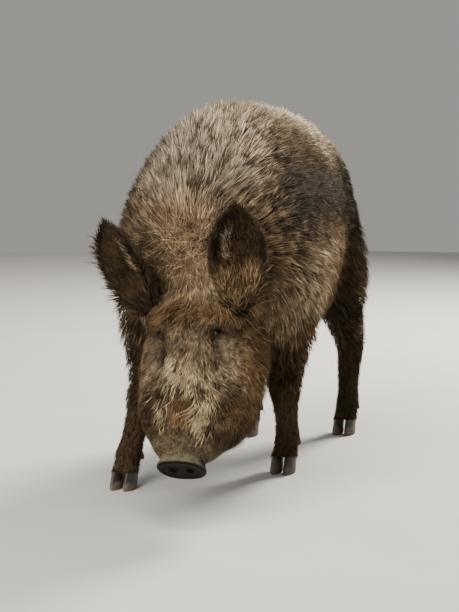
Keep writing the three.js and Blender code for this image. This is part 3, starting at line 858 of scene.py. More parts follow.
def body_shares(points):
    """The trunk and legs. The ridge of the back and the nape are pale, the ridge partly as painted
    sunlight. The flank is dark above, partly as painted shade, brown at mid height and tipped with grey
    in a fringe low down, the lower sides of the neck are dark, partly as painted shade under the head,
    and the belly and legs are dark."""
    level, p = body_place(points)
    x, back, low = p.T
    rear = smooth(180, 480, back)
    wider = smooth(60, 260, back)
    # ridge: paler along the top of the back and wider towards the rump, partly the pale mane and partly
    # painted sunlight on the ridge
    ridge = smooth(0, 1, (level - 0.76 + 0.4 * wider) / (0.19 + 0.3 * wider)) * (1 - 0.5 * rear)
    nape = smooth(-60, -210, back) * smooth(0.68, 1.1, level)
    middle = smooth(250, 60, back) * hump(level, -0.08, 0.25)
    # upper: darker on the upper flank behind the shoulder, partly the coat's own dark and partly painted
    # shade
    upper = smooth(-310, -140, back) * hump(level, 0.36, 0.34) * (1 - 0.85 * ridge)
    # neck_side: darker on the lower sides of the neck, partly painted shade under the head and ears
    neck_side = smooth(-220, -330, back) * smooth(0.7, 0.2, level) * smooth(60, 110, np.abs(x - 20))
    belly = smooth(-0.75, -0.98, level)
    leg = smooth(430, 300, low)
    fringe = fringe_at(level, back)
    pale, warm, straw, dark = marked(p, BODY_MARKS.values()).T
    pale = pale + (0.6 + 0.4 * wider) * ridge + 0.6 * nape * (1 - 0.5 * ridge) + 0.12 * fringe + 0.25 * middle
    warm = warm + 0.3 * smooth(0.7, 0.1, level) * (1 - 0.6 * rear)
    straw = straw + 0.3 * ridge * smooth(-50, 100, back)
    dark = dark + upper + 0.08 * smooth(0.6, 0.1, level) + neck_side
    dark = dark + (1 - leg) * 0.9 * belly + 0.62 * leg + 0.5 * rear * (1 - ridge) * (1 - 0.8 * leg)
    dark = dark * (1 - 0.75 * fringe) + 0.45 * fringe
    return np.stack([pale * (1 - leg), warm, straw, dark], 1)


def around_eyes(points):
    """1 on the lids of both eyes and round them, which is dark lid skin and painted shade of the eye
    sockets: exp(-d^4) with d the distance from the slit, longer along it.
    """
    dark = np.zeros(len(points))
    for way in (-1, 1):
        x, y, z = by_eye(points, way).T
        dark += np.exp(-((np.hypot(x / 1.6, y - 1.5) / 12.5) ** 4)) * smooth(-14, -4, z)
    return dark


def face_shares(points):
    """The head: a tan crown over a darker mop, dark lids and brows, a pale patch between the eyes,
    brown cheeks, and a muzzle of straw over brown that darkens towards its sides. The dark round the
    eyes, under the brows, down the tear grooves and under the head is partly painted shade, and the pale
    of the inner brows is partly painted light. Also gives how far each point belongs to the head."""
    h = in_head(points)
    along, left, rise = h.T
    side = np.abs(left)
    forelock, mop, patch = (bell(h, *FACE_MARKS[name][:2]) for name in ("forelock", "mop", "patch"))
    top = smooth(-20, 20, rise)
    fan = top * smooth(150, 230, along) * smooth(98 - 0.12 * along, 46, side) * (1 - 0.9 * patch)
    jowl = smooth(56, 86, side) * smooth(190, 250, along)
    cheek = smooth(60, 110, side) * smooth(60, 120, along) * (1 - smooth(260, 330, along))
    tip = smooth(318, 344, along)
    paired = np.stack([along, side, rise], 1)
    pale, warm, straw, dark = (marked(h, FACE_MARKS.values()) + marked(paired, PAIRED_MARKS.values())).T
    pale = pale + 0.1 + 0.3 * tip
    warm = warm + 0.1 + 0.4 * cheek
    straw = straw + 0.15 * fan * (1 - 0.6 * tip)
    # the dark round the eyes is partly painted shade of the sockets, and the dark from rise on the lower side
    # of the head is painted shade
    dark = dark + 0.95 * around_eyes(points) + 0.5 * smooth(20, -60, rise) + 0.3 * fan + 0.28 * jowl
    dark = dark + 0.68 * mop * (1 - forelock) - 0.1 * tip
    return np.stack([pale, warm, straw, dark], 1), smooth(-70, 0, along) * smooth(-170, -90, rise)


EAR_SHARES = np.array([0.05, 0.12, 0.0, 0.88])


def markings(points, on_ear=0.0):
    """Shares of pale, warm, straw and dark at points of the row's frame, as an (n, 4) array. On_ear is
    how far each point belongs to an ear."""
    face, on_face = face_shares(points)
    shares = body_shares(points) * (1 - on_face)[:, None] + face * on_face[:, None]
    ear = np.broadcast_to(on_ear, len(points))[:, None]
    return np.clip(shares * (1 - ear) + EAR_SHARES * ear, 0, 1)


def write_marks(piece, shares, along, tone):
    """Writes the shares, the place from root to tip and each hair's own tone onto a piece's points."""
    data = piece.data.attributes
    data.new("marks", "FLOAT_COLOR", "POINT").data.foreach_set("color", shares.astype(np.float32).ravel())
    data.new("along", "FLOAT", "POINT").data.foreach_set("value", along.astype(np.float32))
    data.new("tone", "FLOAT", "POINT").data.foreach_set("value", tone.astype(np.float32))


# %% [markdown]
# ## Shader groups
# Hair and skin use one group for the boar's colours: it takes the four shares, the place from root to
# tip and a tone, and gives a colour. A second group breaks any surface up with dried mud and
# dust. Groups only pass colours and masks, and each material keeps its own shader.

# %% Node helpers
def group(name, inputs, outputs):
    """An empty shader group with named sockets, and its input and output nodes."""
    tree = bpy.data.node_groups.new(name, "ShaderNodeTree")
    kinds = {"color": "NodeSocketColor", "value": "NodeSocketFloat", "vector": "NodeSocketVector"}
    for socket, (kind, value) in inputs.items():
        made = tree.interface.new_socket(socket, in_out="INPUT", socket_type=kinds[kind])
        if value is not None:
            made.default_value = value
    for socket, kind in outputs.items():
        tree.interface.new_socket(socket, in_out="OUTPUT", socket_type=kinds[kind])
    return tree, tree.nodes.new("NodeGroupInput").outputs, tree.nodes.new("NodeGroupOutput").inputs


def wire(tree, target, value):
    """Links an output to an input, or writes a plain value into it."""
    if isinstance(value, bpy.types.NodeSocket):
        tree.links.new(value, target)
    else:
        target.default_value = value


def wired(tree, kind, inputs):
    """A new node of a kind, with its inputs linked or set by name or number."""
    node = tree.nodes.new("ShaderNode" + kind)
    for socket, value in inputs.items():
        wire(tree, node.inputs[socket], value)
    return node


def blend(tree, factor, low, high, mode="MIX"):
    """A colour mix: low where the factor is 0, high where it is 1."""
    node = wired(tree, "Mix", {0: factor, 6: low, 7: high})
    node.data_type, node.blend_type = "RGBA", mode
    return node.outputs[2]


def calculated(tree, operation, *values):
    """A sum, product or other result of plain values."""
    node = wired(tree, "Math", dict(enumerate(values)))
    node.operation = operation
    return node.outputs[0]


def ramp(tree, value, low, high, to_low=0.0, to_high=1.0):
    """A smooth change from one value to another as the input goes from low to high."""
    node = wired(tree, "MapRange", dict(enumerate((value, low, high, to_low, to_high))))
    node.interpolation_type = "SMOOTHSTEP"
    return node.outputs[0]


def noise(tree, vector, scale, detail=3.0, rough=0.6):
    """The value of a noise, 0 to 1."""
    inputs = {"Vector": vector, "Scale": scale, "Detail": detail, "Roughness": rough}
    return wired(tree, "TexNoise", inputs).outputs["Fac"]


def bump(tree, height, strength, distance):
    """A normal tilted by the slopes of a height."""
    inputs = {"Strength": strength, "Distance": distance, "Height": height}
    return wired(tree, "Bump", inputs).outputs["Normal"]


def greyed(tree, tint, value):
    """A colour multiplied by a plain value."""
    grey = wired(tree, "CombineColor", dict.fromkeys(range(3), value))
    return blend(tree, 1.0, tint, grey.outputs[0], "MULTIPLY")


def height_of(tree, vector):
    """The third coordinate of a vector."""
    return wired(tree, "SeparateXYZ", {0: vector}).outputs[2]


def attribute(tree, name, output="Fac"):
    """An attribute of the piece's own points."""
    node = wired(tree, "Attribute", {})
    node.attribute_name = name
    return node.outputs[output]


# %% The colour groups
COLOURS = {  # linear colours of the tips, and of the roots
    "brown": (0.190, 0.130, 0.072), "pale": (0.480, 0.400, 0.290), "warm": (0.430, 0.255, 0.115),
    "straw": (0.720, 0.590, 0.350), "dark": (0.013, 0.010, 0.005),
    "root": (0.022, 0.017, 0.010), "root pale": (0.130, 0.102, 0.068),
}


def colour(name):
    """A named colour with full opacity."""
    return (*COLOURS[name], 1.0)


def coat_colour_group():
    """Tip colours mixed by the four shares, dark at the root, with each hair lighter or darker."""
    tree, take, give = group("Boar coat colour", {
        "Marks": ("color", None), "Dark": ("value", 0.0), "Along": ("value", 0.3), "Tone": ("value", 0.5),
    }, {"Color": "color", "Roughness": "value"})
    pale, warm, straw = wired(tree, "SeparateColor", {0: take["Marks"]}).outputs
    tip = blend(tree, pale, colour("brown"), colour("pale"))
    tip = blend(tree, warm, tip, colour("warm"))
    tip = blend(tree, straw, tip, colour("straw"))
    grizzled = ramp(tree, take["Tone"], 0.04, 0.66, 0.14, 1.0)
    bleached = ramp(tree, take["Tone"], 0.7, 1.0, 1.0, 2.0)
    tip = greyed(tree, tip, calculated(tree, "MULTIPLY", grizzled, bleached))
    tip = blend(tree, calculated(tree, "MULTIPLY", take["Dark"], 0.95), tip, colour("dark"))
    root = blend(tree, pale, colour("root"), colour("root pale"))
    root = blend(tree, take["Dark"], root, colour("dark"))
    body = blend(tree, ramp(tree, take["Along"], 0.04, 0.6), root, tip)
    tree.links.new(body, give["Color"])
    wire(tree, give["Roughness"], ramp(tree, take["Along"], 0.0, 1.0, 0.95, 0.8))
    return tree


def mud_group():
    """Patches of dried mud: two sizes of noise against a threshold, mixed over any colour."""
    tree, take, give = group("Dried mud", {
        "Vector": ("vector", None), "Color": ("color", None), "Mud": ("color", (0.12, 0.095, 0.07, 1)),
        "Amount": ("value", 0.3),
    }, {"Color": "color", "Mask": "value"})
    large = calculated(tree, "MULTIPLY", noise(tree, take["Vector"], 14.0, 5.0), 0.7)
    fine = calculated(tree, "MULTIPLY", noise(tree, take["Vector"], 90.0, 3.0), 0.3)
    edge = calculated(tree, "SUBTRACT", 0.78, calculated(tree, "MULTIPLY", take["Amount"], 0.5))
    mask = ramp(tree, calculated(tree, "ADD", large, fine), edge, calculated(tree, "ADD", edge, 0.09))
    tree.links.new(blend(tree, mask, take["Color"], take["Mud"]), give["Color"])
    tree.links.new(mask, give["Mask"])
    return tree


COAT_COLOUR, DRIED_MUD = coat_colour_group(), mud_group()
print("groups:", COAT_COLOUR.name, "and", DRIED_MUD.name)


# %% Material helpers
def use_group(tree, made, **values):
    """Puts a group into a material with its own values and returns its outputs."""
    node = wired(tree, "Group", {})
    node.node_tree = made
    for socket, value in values.items():
        wire(tree, node.inputs[socket], value)
    return node.outputs


def material(name, **constants):
    """A material with one Principled shader, whose constants are set on its own sockets."""
    made = bpy.data.materials.new(name)
    made.use_nodes = True
    shader = made.node_tree.nodes["Principled BSDF"]
    for socket, value in constants.items():
        shader.inputs[socket.replace("_", " ")].default_value = value
    return made, made.node_tree, shader.inputs


def object_place(tree):
    """Object coordinates, which are the row's own metres."""
    return wired(tree, "TexCoord", {}).outputs["Object"]


# %% Hair and skin materials
def boar_colour(tree, tone):
    """The boar's colour from the shares and the place from root to tip that the points carry."""
    marks, dark = (attribute(tree, "marks", output) for output in ("Color", "Alpha"))
    return use_group(tree, COAT_COLOUR, Marks=marks, Dark=dark, Along=attribute(tree, "along"), Tone=tone)


def hair_material():
    """Bristles: the boar's colours from root to tip, with clumps of dry mud low on the body."""
    made, tree, shader = material("boar_bristle", Specular_IOR_Level=0.04)
    where = object_place(tree)
    hair = boar_colour(tree, attribute(tree, "tone"))
    varied = greyed(tree, hair["Color"], ramp(tree, noise(tree, where, 26.0), 0.35, 0.68, 0.62, 1.2))
    low = ramp(tree, height_of(tree, where), 0.05, 0.5, 0.42, 0.0)
    muddy = use_group(tree, DRIED_MUD, Vector=where, Color=varied, Amount=low)
    tree.links.new(muddy["Color"], shader["Base Color"])
    tree.links.new(hair["Roughness"], shader["Roughness"])
    return made


def skin_material():
    """Skin with its shadowed underfur: the same colours near the root, and fine pores as bump."""
    made, tree, shader = material("boar_skin", Specular_IOR_Level=0.08)
    where = object_place(tree)
    hair = boar_colour(tree, noise(tree, where, 60.0, 4.0))
    muddy = use_group(tree, DRIED_MUD, Vector=where, Color=hair["Color"], Amount=0.12)
    tree.links.new(muddy["Color"], shader["Base Color"])
    shader["Roughness"].default_value = 0.75
    grain = calculated(tree, "ADD", noise(tree, where, 420.0, 4.0), noise(tree, where, 120.0, 2.0))
    tree.links.new(bump(tree, grain, 0.5, 0.002), shader["Normal"])
    return made


HAIR, SKIN = hair_material(), skin_material()
skin.data.materials.clear()
skin.data.materials.append(SKIN)
points = coordinates(skin)
from_ears = np.minimum(*(distances(limb_trees[f"ear_{hand}"], points, 0.02) for hand in EARS))
bare = np.full(len(points), 0.3)
write_marks(skin, markings(points, 1 - smooth(0.003, 0.012, from_ears)), bare, bare)
print("materials:", HAIR.name, SKIN.name)

# %% [markdown]
# ## Eyeballs
# Each eye is a ball with the clear front standing out a little. Points carry their angle from the look
# axis, and the material reads it to paint pupil, dark brown iris and the near-black rim.

# %% Eyeballs
def eye_material():
    """Pupil, iris and dark white by the angle from the look axis, under a wet surface."""
    made, tree, shader = material("boar_eye", Specular_IOR_Level=0.3)
    angle = attribute(tree, "iris")
    fibres = noise(tree, object_place(tree), 1500.0, 2.0)
    streaks = blend(tree, fibres, (0.008, 0.004, 0.002, 1), (0.022, 0.010, 0.005, 1))
    iris = blend(tree, ramp(tree, angle, 0.2, 0.27), (0.002, 0.002, 0.002, 1), streaks)
    rim = blend(tree, ramp(tree, angle, 0.72, 0.9), iris, (0.012, 0.008, 0.006, 1))
    tree.links.new(rim, shader["Base Color"])
    shader["Roughness"].default_value = 0.07
    return made


EYE_SHINE = eye_material()
for hand, way in (("left", 1), ("right", -1)):
    middle, turn = eye_axes(way)
    phi = np.linspace(0.02, np.pi - 0.02, 40)
    theta = circle(48)
    radius = EYE_RADIUS * (1 + 0.07 * hump(phi, 0, 0.5))
    ring = np.stack([np.cos(theta), np.sin(theta)], 1) @ turn[:2]
    across, ahead = ((radius * part)[:, None, None] for part in (np.sin(phi), np.cos(phi)))
    eye = closed_loft(f"eyeball_{hand}", on_head(across * ring[None] + ahead * turn[2] + middle))
    angle = np.append(np.repeat(phi, len(theta)), [0.0, np.pi]).astype(np.float32)
    eye.data.attributes.new("iris", "FLOAT", "POINT").data.foreach_set("value", angle)
    eye.data.materials.append(EYE_SHINE)
    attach(eye, "root")
    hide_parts(f"eye_{hand}")
print("eyes of", 2 * EYE_RADIUS, "mm")

# %% [markdown]
# ## Snout disc
# The rooting disc is gristle under bare skin: a soft rim, a slightly hollow face with two nostrils and
# a notch above. It is a profile carried round an oval, and the nostrils are pressed into the face.

# %% Shape of the snout disc
NOSE = {"wide": 52.0, "high": 44.0, "drop": 2.0, "lean": -0.16, "square": 0.85, "notch": 1.6, "ribs": 0.5}
NOSE_PROFILE = np.array([  # place along the head from its end, and share of the oval
    [-12, 0.72], [-6, 0.87], [0, 0.90], [5, 0.925], [10, 0.96], [14.5, 0.995], [18.5, 0.99],
    [21, 0.94], [21.2, 0.87], [19.6, 0.74], [18.4, 0.5], [18.6, 0.25], [19.0, 0.02],
])
NOSE_FACE = 7  # the profile's knot from which the surface faces forward
NOSTRIL = {"out": 19.0, "up": -2.0, "wide": 8.0, "high": 10.0, "deep": 15.0, "rim": 1.8}


def nose_grid():
    """x = wide * share * cos^k, y = high * share * sin^k, along the profile. A nostril is a steep
    funnel in away, the distance from its middle measured in its own half widths."""
    knots = np.arange(len(NOSE_PROFILE))
    t = np.concatenate([np.linspace(0, NOSE_FACE, 30), np.linspace(NOSE_FACE + 0.1, knots[-1], 62)])
    along, share = through(knots, NOSE_PROFILE, t).T
    angle = circle(120)
    x = NOSE["wide"] * share[:, None] * powered(np.cos(angle), NOSE["square"])
    y = NOSE["high"] * share[:, None] * powered(np.sin(angle), NOSE["square"])
    z = along[:, None] + np.maximum(0, along[:, None] - 4) * NOSE["lean"] * y / NOSE["high"]
    face = (t > NOSE_FACE)[:, None]
    away = np.hypot((np.abs(x) - NOSTRIL["out"]) / NOSTRIL["wide"], (y - NOSTRIL["up"]) / NOSTRIL["high"])
    z = z - face * NOSTRIL["deep"] * (1 - smooth(0.45, 1.15, away))
    z = z + face * NOSTRIL["rim"] * hump(away, 1.35, 0.3)
    z = z - NOSE["notch"] * hump(x, 0, 3.0) * smooth(0, 30, y) * (along[:, None] > 12)
    z = z + NOSE["ribs"] * np.sin(x / 2.1) * (share[:, None] > 0.9) * smooth(0, 20, y)
    return on_head(np.stack([HEAD_LENGTH + z, x, y - NOSE["drop"]], -1)), y / NOSE["high"], z


# %% Leather of the snout
def nose_material():
    """Leathery dark brown skin with pits and fine cracks, and pale dried mud behind its upper rim.
    Its near-black base is partly painted shade of the disc's face.
    """
    made, tree, shader = material("snout_leather", Specular_IOR_Level=0.08)
    where = object_place(tree)
    pits = wired(tree, "TexVoronoi", {"Vector": where, "Scale": 320.0})
    # near-black leather: the skin's own dark, and painted shade of the face that turns to the ground
    base = blend(tree, noise(tree, where, 70.0, 4.0), (0.004, 0.003, 0.0015, 1), (0.010, 0.007, 0.004, 1))
    broken = ramp(tree, noise(tree, where, 120.0), 0.3, 0.6, 0.45, 1.0)
    dust = calculated(tree, "MULTIPLY", attribute(tree, "dust"), broken)
    dusty = blend(tree, dust, base, (0.110, 0.094, 0.058, 1))
    muddy = use_group(tree, DRIED_MUD, Vector=where, Color=dusty, Mud=(0.075, 0.06, 0.038, 1), Amount=0.25)
    tree.links.new(muddy["Color"], shader["Base Color"])
    tree.links.new(ramp(tree, dust, 0.0, 0.8, 0.55, 0.85), shader["Roughness"])
    cracks = calculated(tree, "MULTIPLY", noise(tree, where, 260.0), 0.8)
    rough = calculated(tree, "ADD", pits.outputs["Distance"], cracks)
    tree.links.new(bump(tree, rough, 0.6, 0.0015), shader["Normal"])
    return made


grid, height, forwardness = nose_grid()
nose = closed_loft("snout_disc", grid)
dust = smooth(0.0, 0.5, height) * (1 - smooth(15.5, 18.5, forwardness + 2.7 * height))
dust = np.append(dust.ravel(), [0, 0]).astype(np.float32)
nose.data.attributes.new("dust", "FLOAT", "POINT").data.foreach_set("value", dust)
nose.data.materials.append(nose_material())
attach(nose, "root")
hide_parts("nose")
print("snout disc faces:", len(nose.data.polygons))

# %% [markdown]
# ## Hooves
# Each foot stands on two claws, and two small dewclaws hang behind the pastern. A claw is an oval that
# leans forward as it nears the ground, narrower at its toe, with faint rings where the horn grew.

# %% Shape of claws and dewclaws
CLAW = {"half": 13.5, "apart": 16.0, "reach": 35.0, "heel": 27.0, "lean": 14.0, "narrow": 0.35}
CLAW_ROWS = np.array([[0, -1.5, 1], [3, 0, 1], [22, 0, 0.55], [HOOF_HEIGHT - 0.4, 0, 0]])
DEWCLAW = {"z": 92.0, "apart": 17.0, "behind": 30.0, "length": 34.0, "radius": 9.0, "out": 6.0, "back": 22.0}
GROWTH = {"spacing": 3.1, "deep": 0.3}


def foot_middle(name):
    """Where a foot's own centre line meets the floor."""
    end, way = end_and_way(name)
    last = LEG_TABLE[end][-1]
    back, out, _ = STANCE[name]
    return way, np.array([way * (LEG_OUT[end] - last[1] + out), last[2] + back, 0.0])


def claw_grid(name, outer):
    """Rings up a claw: half a long oval to the toe and half a short one to the heel."""
    way, middle = foot_middle(name)
    z = np.concatenate([np.linspace(0, 3, 5), np.linspace(4, HOOF_HEIGHT - 0.4, 30)])
    swell, lean = (through(CLAW_ROWS[:, 0], CLAW_ROWS[:, 1:], z) * [1, CLAW["lean"]]).T[:, :, None]
    rings = 1 + np.sin(z[:, None] / GROWTH["spacing"] * 2 * np.pi)
    swell = swell - GROWTH["deep"] * rings * (z[:, None] > 3)
    angle = circle(40)
    c, d = np.cos(angle)[None], np.sin(angle)[None]
    along = np.where(c > 0, CLAW["reach"], CLAW["heel"])
    narrow = np.where(c > 0, 1 - CLAW["narrow"] * c**3, 1)
    x = middle[0] + way * outer * CLAW["apart"] + (CLAW["half"] + swell) * d * narrow
    y = middle[1] - (along + swell) * c - lean
    return placed(np.stack([x, y, z[:, None] + 0 * x], -1))


def dewclaw_grid(name, outer):
    """A blunt cone from the pastern, out, back and down to its rounded point."""
    way, middle = foot_middle(name)
    root = middle + [way * outer * DEWCLAW["apart"], DEWCLAW["behind"], DEWCLAW["z"]]
    run = np.array([way * outer * DEWCLAW["out"], DEWCLAW["back"], -DEWCLAW["length"]])
    t = np.concatenate([np.linspace(0, 0.9, 14), [0.95, 0.985, 0.999]])
    radius = (DEWCLAW["radius"] - 4 * t) * np.sqrt(np.clip(1 - smooth(0.86, 1.02, t) ** 2, 0.02, 1))
    one = unit(np.cross(run, [1.0, 0, 0]))
    two = unit(np.cross(run, one))
    angle = circle(20)
    ring = np.cos(angle)[:, None] * one + np.sin(angle)[:, None] * two
    return placed(root + t[:, None, None] * run + radius[:, None, None] * ring)


# %% Horn of the feet
def horn_material():
    """Dark horn with streaks down the wall, and mud dried on from the ground up."""
    made, tree, shader = material("hoof_horn", Specular_IOR_Level=0.4)
    where = object_place(tree)
    stretched = wired(tree, "Mapping", {"Vector": where, "Scale": (1, 1, 0.12)}).outputs[0]
    streaks = noise(tree, stretched, 260.0, 3.0)
    horn = blend(tree, streaks, (0.012, 0.010, 0.009, 1), (0.060, 0.048, 0.038, 1))
    low = ramp(tree, height_of(tree, where), 0.0, 0.045, 0.85, 0.25)
    muddy = use_group(tree, DRIED_MUD, Vector=where, Color=horn, Amount=low)
    tree.links.new(muddy["Color"], shader["Base Color"])
    tree.links.new(ramp(tree, muddy["Mask"], 0.0, 1.0, 0.38, 0.9), shader["Roughness"])
    tree.links.new(bump(tree, streaks, 0.4, 0.001), shader["Normal"])
    return made


HORN = horn_material()
for name in LEG_NAMES:
    for side_name, outer in (("inner", -1), ("outer", 1)):
        for kind, grid in (("claw", claw_grid(name, outer)), ("dewclaw", dewclaw_grid(name, outer))):
            piece = closed_loft(f"{name}_{kind}_{side_name}_horn", grid)
            piece.data.materials.append(HORN)
            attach(piece, "root")
            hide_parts(f"{name}_{kind}_{side_name}")
print("hooves on", len(LEG_NAMES), "feet")

# %% [markdown]
# ## Tufts
# Bristles are solid. A long tuft is a three-sided spindle that starts as a point under the skin,
# bends where it is widest and ends in a point, in six triangles. The bleached strands are as wide at
# the root as at the bend, in ten, and a short tuft is a plain spike of four. Tufts stand in locks: each
# lock has one leader, the others lean their tips towards its tip and share part of its tone, so that
# dark gaps open between the locks as they do in a real coat.

# %% Shape of a tuft
rng = np.random.default_rng(7)
SINK = 2.5 * MM
PATCH = 0.003  # size of a tuft on the unwrap
UNWRAP_START, UNWRAP_SPAN = 0.004, 0.988  # the part of the unwrap that the patches start in
BENT_FROM = 21 * MM  # tufts shorter than this are plain spikes
STRAND = {  # three corners at the root and at the bend, and the tip
    "faces": np.array([[0, 2, 1], [0, 1, 4], [0, 4, 3], [1, 2, 5], [1, 5, 4], [2, 0, 3], [2, 3, 5],
                       [3, 4, 6], [4, 5, 6], [5, 3, 6]]),
    "along": np.array([0, 0, 0, 0.5, 0.5, 0.5, 1.0]),
    "patch": np.array([[-0.5, 0], [0.5, 0], [0, 0], [-0.5, 0.5], [0.5, 0.5], [0, 0.5], [0, 1.0]]),
    "stops": (0, 0.55, 1), "ringed": (0, 1),
}
SPINDLE = {  # a point at the root, three corners at the bend, and the tip
    "faces": np.array([[1, 2, 4], [2, 3, 4], [3, 1, 4], [2, 1, 0], [3, 2, 0], [1, 3, 0]]),
    "along": np.array([0, 0.45, 0.45, 0.45, 1.0]),
    "patch": np.array([[0, 0], [-0.5, 0.45], [0.5, 0.45], [0, 0.45], [0, 1.0]]),
    "stops": (0, 0.42, 1), "ringed": (1,),
}
SPIKE = {  # three corners at the root, and the tip
    "faces": np.array([[0, 2, 1], [0, 1, 3], [1, 2, 3], [2, 0, 3]]),
    "along": np.array([0, 0, 0, 1.0]),
    "patch": np.array([[-0.5, 0], [0.5, 0], [0, 0.2], [0, 1.0]]),
    "stops": (0, 1), "ringed": (0,),
}
LOCK_PRESS = 0.6
# the long pale bristles over the others, with the least of their tones
GUARD = {"share": 0.17, "longer": 1.25, "thinner": 0.85, "tone": 0.7}
print("triangles of a strand, spindle and spike:", [len(t["faces"]) for t in (STRAND, SPINDLE, SPIKE)])


# %% Locks and corners
def locks(roots, normal, lie, tips, size):
    """Numbers of each tuft's leader, one in every size tufts, and how far its tip is from the
    leader's, or no distance where the leader grows on another side. Roots are looked up with their
    places pressed together along the piece's main lie, so that a lock is long and narrow."""
    leaders = rng.choice(len(roots), max(1, len(roots) // size), replace=False)
    main = unit(lie.mean(0))
    pressed = roots - np.outer(roots @ main, main) * LOCK_PRESS
    tree = KDTree(len(leaders))
    for i, leader in enumerate(leaders):
        tree.insert(pressed[leader], i)
    tree.balance()
    mine = leaders[[tree.find(r)[1] for r in pressed]]
    alike = np.einsum("ij,ij->i", normal, normal[mine]) > 0.6
    return mine, (tips[mine] - tips) * alike[:, None]


def corners(path, normal, half, ringed):
    """Three corners round each ringed stop of a path, and one point at the others."""
    made = []
    for k, at in enumerate(path):
        if k not in ringed:
            made.append(at)
            continue
        ahead = unit(path[k + 1] - at)
        flat = unit(np.cross(normal, ahead)) * half[:, None]
        made += [at - flat, at + flat, at + np.cross(ahead, flat) * 0.9]
    return np.stack(made, 1)


# %% Build tufts
TRIANGLES = []


def tufts(name, roots, normal, lie, length, rise, width, unwrap, shares, slot="coat", sway=0.07, sag=0.0,
          lock=12, pull=0.42, long_shape=SPINDLE, light=0.0):
    """Tapers along root + lie * run * t + normal * rise * (1.6 t - 0.6 t^2), which leave the skin
    steeply and then lie down. They bend sideways by a random share of their length, hang by sag * t^2
    and lean towards their leader's tip by pull * t^2. Light moves their tones that far towards 1.
    Each keeps a small patch of the unwrap. Length, rise, width and sag are millimetres."""
    n = len(roots)
    length, rise, width, sag = (np.broadcast_to(v, n) * MM for v in (length, rise, width, sag))
    guard = rng.random(n) < GUARD["share"]
    length = np.where(guard, length * GUARD["longer"], length)
    width = np.where(guard, width * GUARD["thinner"], width)
    across = unit(np.cross(normal, lie))
    run = np.sqrt(np.maximum(length**2 - rise**2, (0.3 * length) ** 2))
    bend = (rng.normal(0, sway, n) * length)[:, None]
    drop = np.array([0, 0, -1.0]) * sag[:, None]
    tips = roots + lie * run[:, None] + normal * rise[:, None] + drop
    mine, lean = locks(roots, normal, lie, tips, lock)
    lean *= (pull * np.minimum(1, 0.5 * length / np.maximum(np.linalg.norm(lean, axis=1), 1e-6)))[:, None]
    own = rng.random(n)
    tone = np.where(guard, GUARD["tone"] + 0.3 * own, 0.5 * rng.random(n)[mine] + 0.22 * own)
    tone = light + (1 - light) * tone

    def stop(t):
        """Where the middle line of every tuft is at t, from 0 at the root to 1 at the tip."""
        at = roots - normal * SINK + lie * (run * t)[:, None] + (lean + drop) * t * t
        at = at + normal * ((rise + SINK) * (1.6 * t - 0.6 * t * t))[:, None]
        return at + across * bend * 2 * (t - 0.4) ** 2 * (t > 0)

    points, faces, along, spots, owner = [], [], [], [], []
    for shape, picked in ((long_shape, length >= BENT_FROM), (SPIKE, length < BENT_FROM)):
        here = np.flatnonzero(picked)
        path = [stop(t)[here] for t in shape["stops"]]
        made = corners(path, normal[here], width[here] / 2, shape["ringed"])
        first = sum(len(p) for p in points)
        number = np.arange(len(here))[:, None, None] * len(shape["along"])
        points.append(made.reshape(-1, 3))
        faces.append((first + number + shape["faces"]).reshape(-1, 3))
        along.append(np.tile(shape["along"], len(here)))
        corner = UNWRAP_START + UNWRAP_SPAN * unwrap[here][:, None]
        spots.append((corner + shape["patch"] * PATCH).reshape(-1, 2))
        owner.append(np.repeat(here, len(shape["along"])))
    points, faces, along, spots, owner = (np.concatenate(v) for v in (points, faces, along, spots, owner))
    piece = new_mesh(name, points, faces)
    write_marks(piece, shares[owner], along, tone[owner])
    layer = piece.data.uv_layers.new(name="OFBake")
    layer.data.foreach_set("uv", spots[faces.ravel()].astype(np.float32).ravel())
    piece.data.materials.append(HAIR)
    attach(piece, "root")
    print(f"{name}: {n} tufts, {len(faces)} triangles")
    TRIANGLES.append(len(faces))


# %% [markdown]
# ## Where the bristles grow
# Roots are scattered on each loft, cell by cell, by area and density. The same cell gives the two
# directions that every lie is made of: along the loft and round it. Each root then moves to the
# nearest point of the finished skin, and roots that ended up inside another limb are dropped.

# %% Scatter roots
skin_tree = BVHTree.FromObject(skin, bpy.context.evaluated_depsgraph_get())
DROP_DEPTH = 7 * MM


def between(low, high, t):
    """A straight mix of two arrays of points."""
    return low + (high - low) * t[:, None]


def scattered(grid, at, angle, count, density):
    """Roots on a loft: cell chosen by area times density, place inside it at random. Gives the roots,
    the unit directions along and round the loft, and the place in both parameters."""
    around = np.concatenate([grid, grid[:, :1]], 1)
    angles = np.append(angle, 2 * np.pi)
    a, b, c, d = around[:-1, :-1], around[1:, :-1], around[:-1, 1:], around[1:, 1:]
    area = np.linalg.norm(np.cross(d - a, c - b), axis=-1) / 2
    at_mid, angle_mid = np.meshgrid((at[:-1] + at[1:]) / 2, (angles[:-1] + angles[1:]) / 2, indexing="ij")
    weight = (area * density(at_mid, angle_mid)).ravel()
    cell = rng.choice(len(weight), count, p=weight / weight.sum())
    i, j = np.divmod(cell, len(angle))
    u, v = rng.random((2, count))
    near_a, near_b, near_c, near_d = a[i, j], b[i, j], c[i, j], d[i, j]
    roots = between(between(near_a, near_b, u), between(near_c, near_d, u), v)
    ahead = unit(between(near_b - near_a, near_d - near_c, v))
    beside = unit(between(near_c - near_a, near_d - near_b, u))
    return (roots, ahead, beside, at[i] + (at[i + 1] - at[i]) * u,
            angles[j] + (angles[j + 1] - angles[j]) * v)


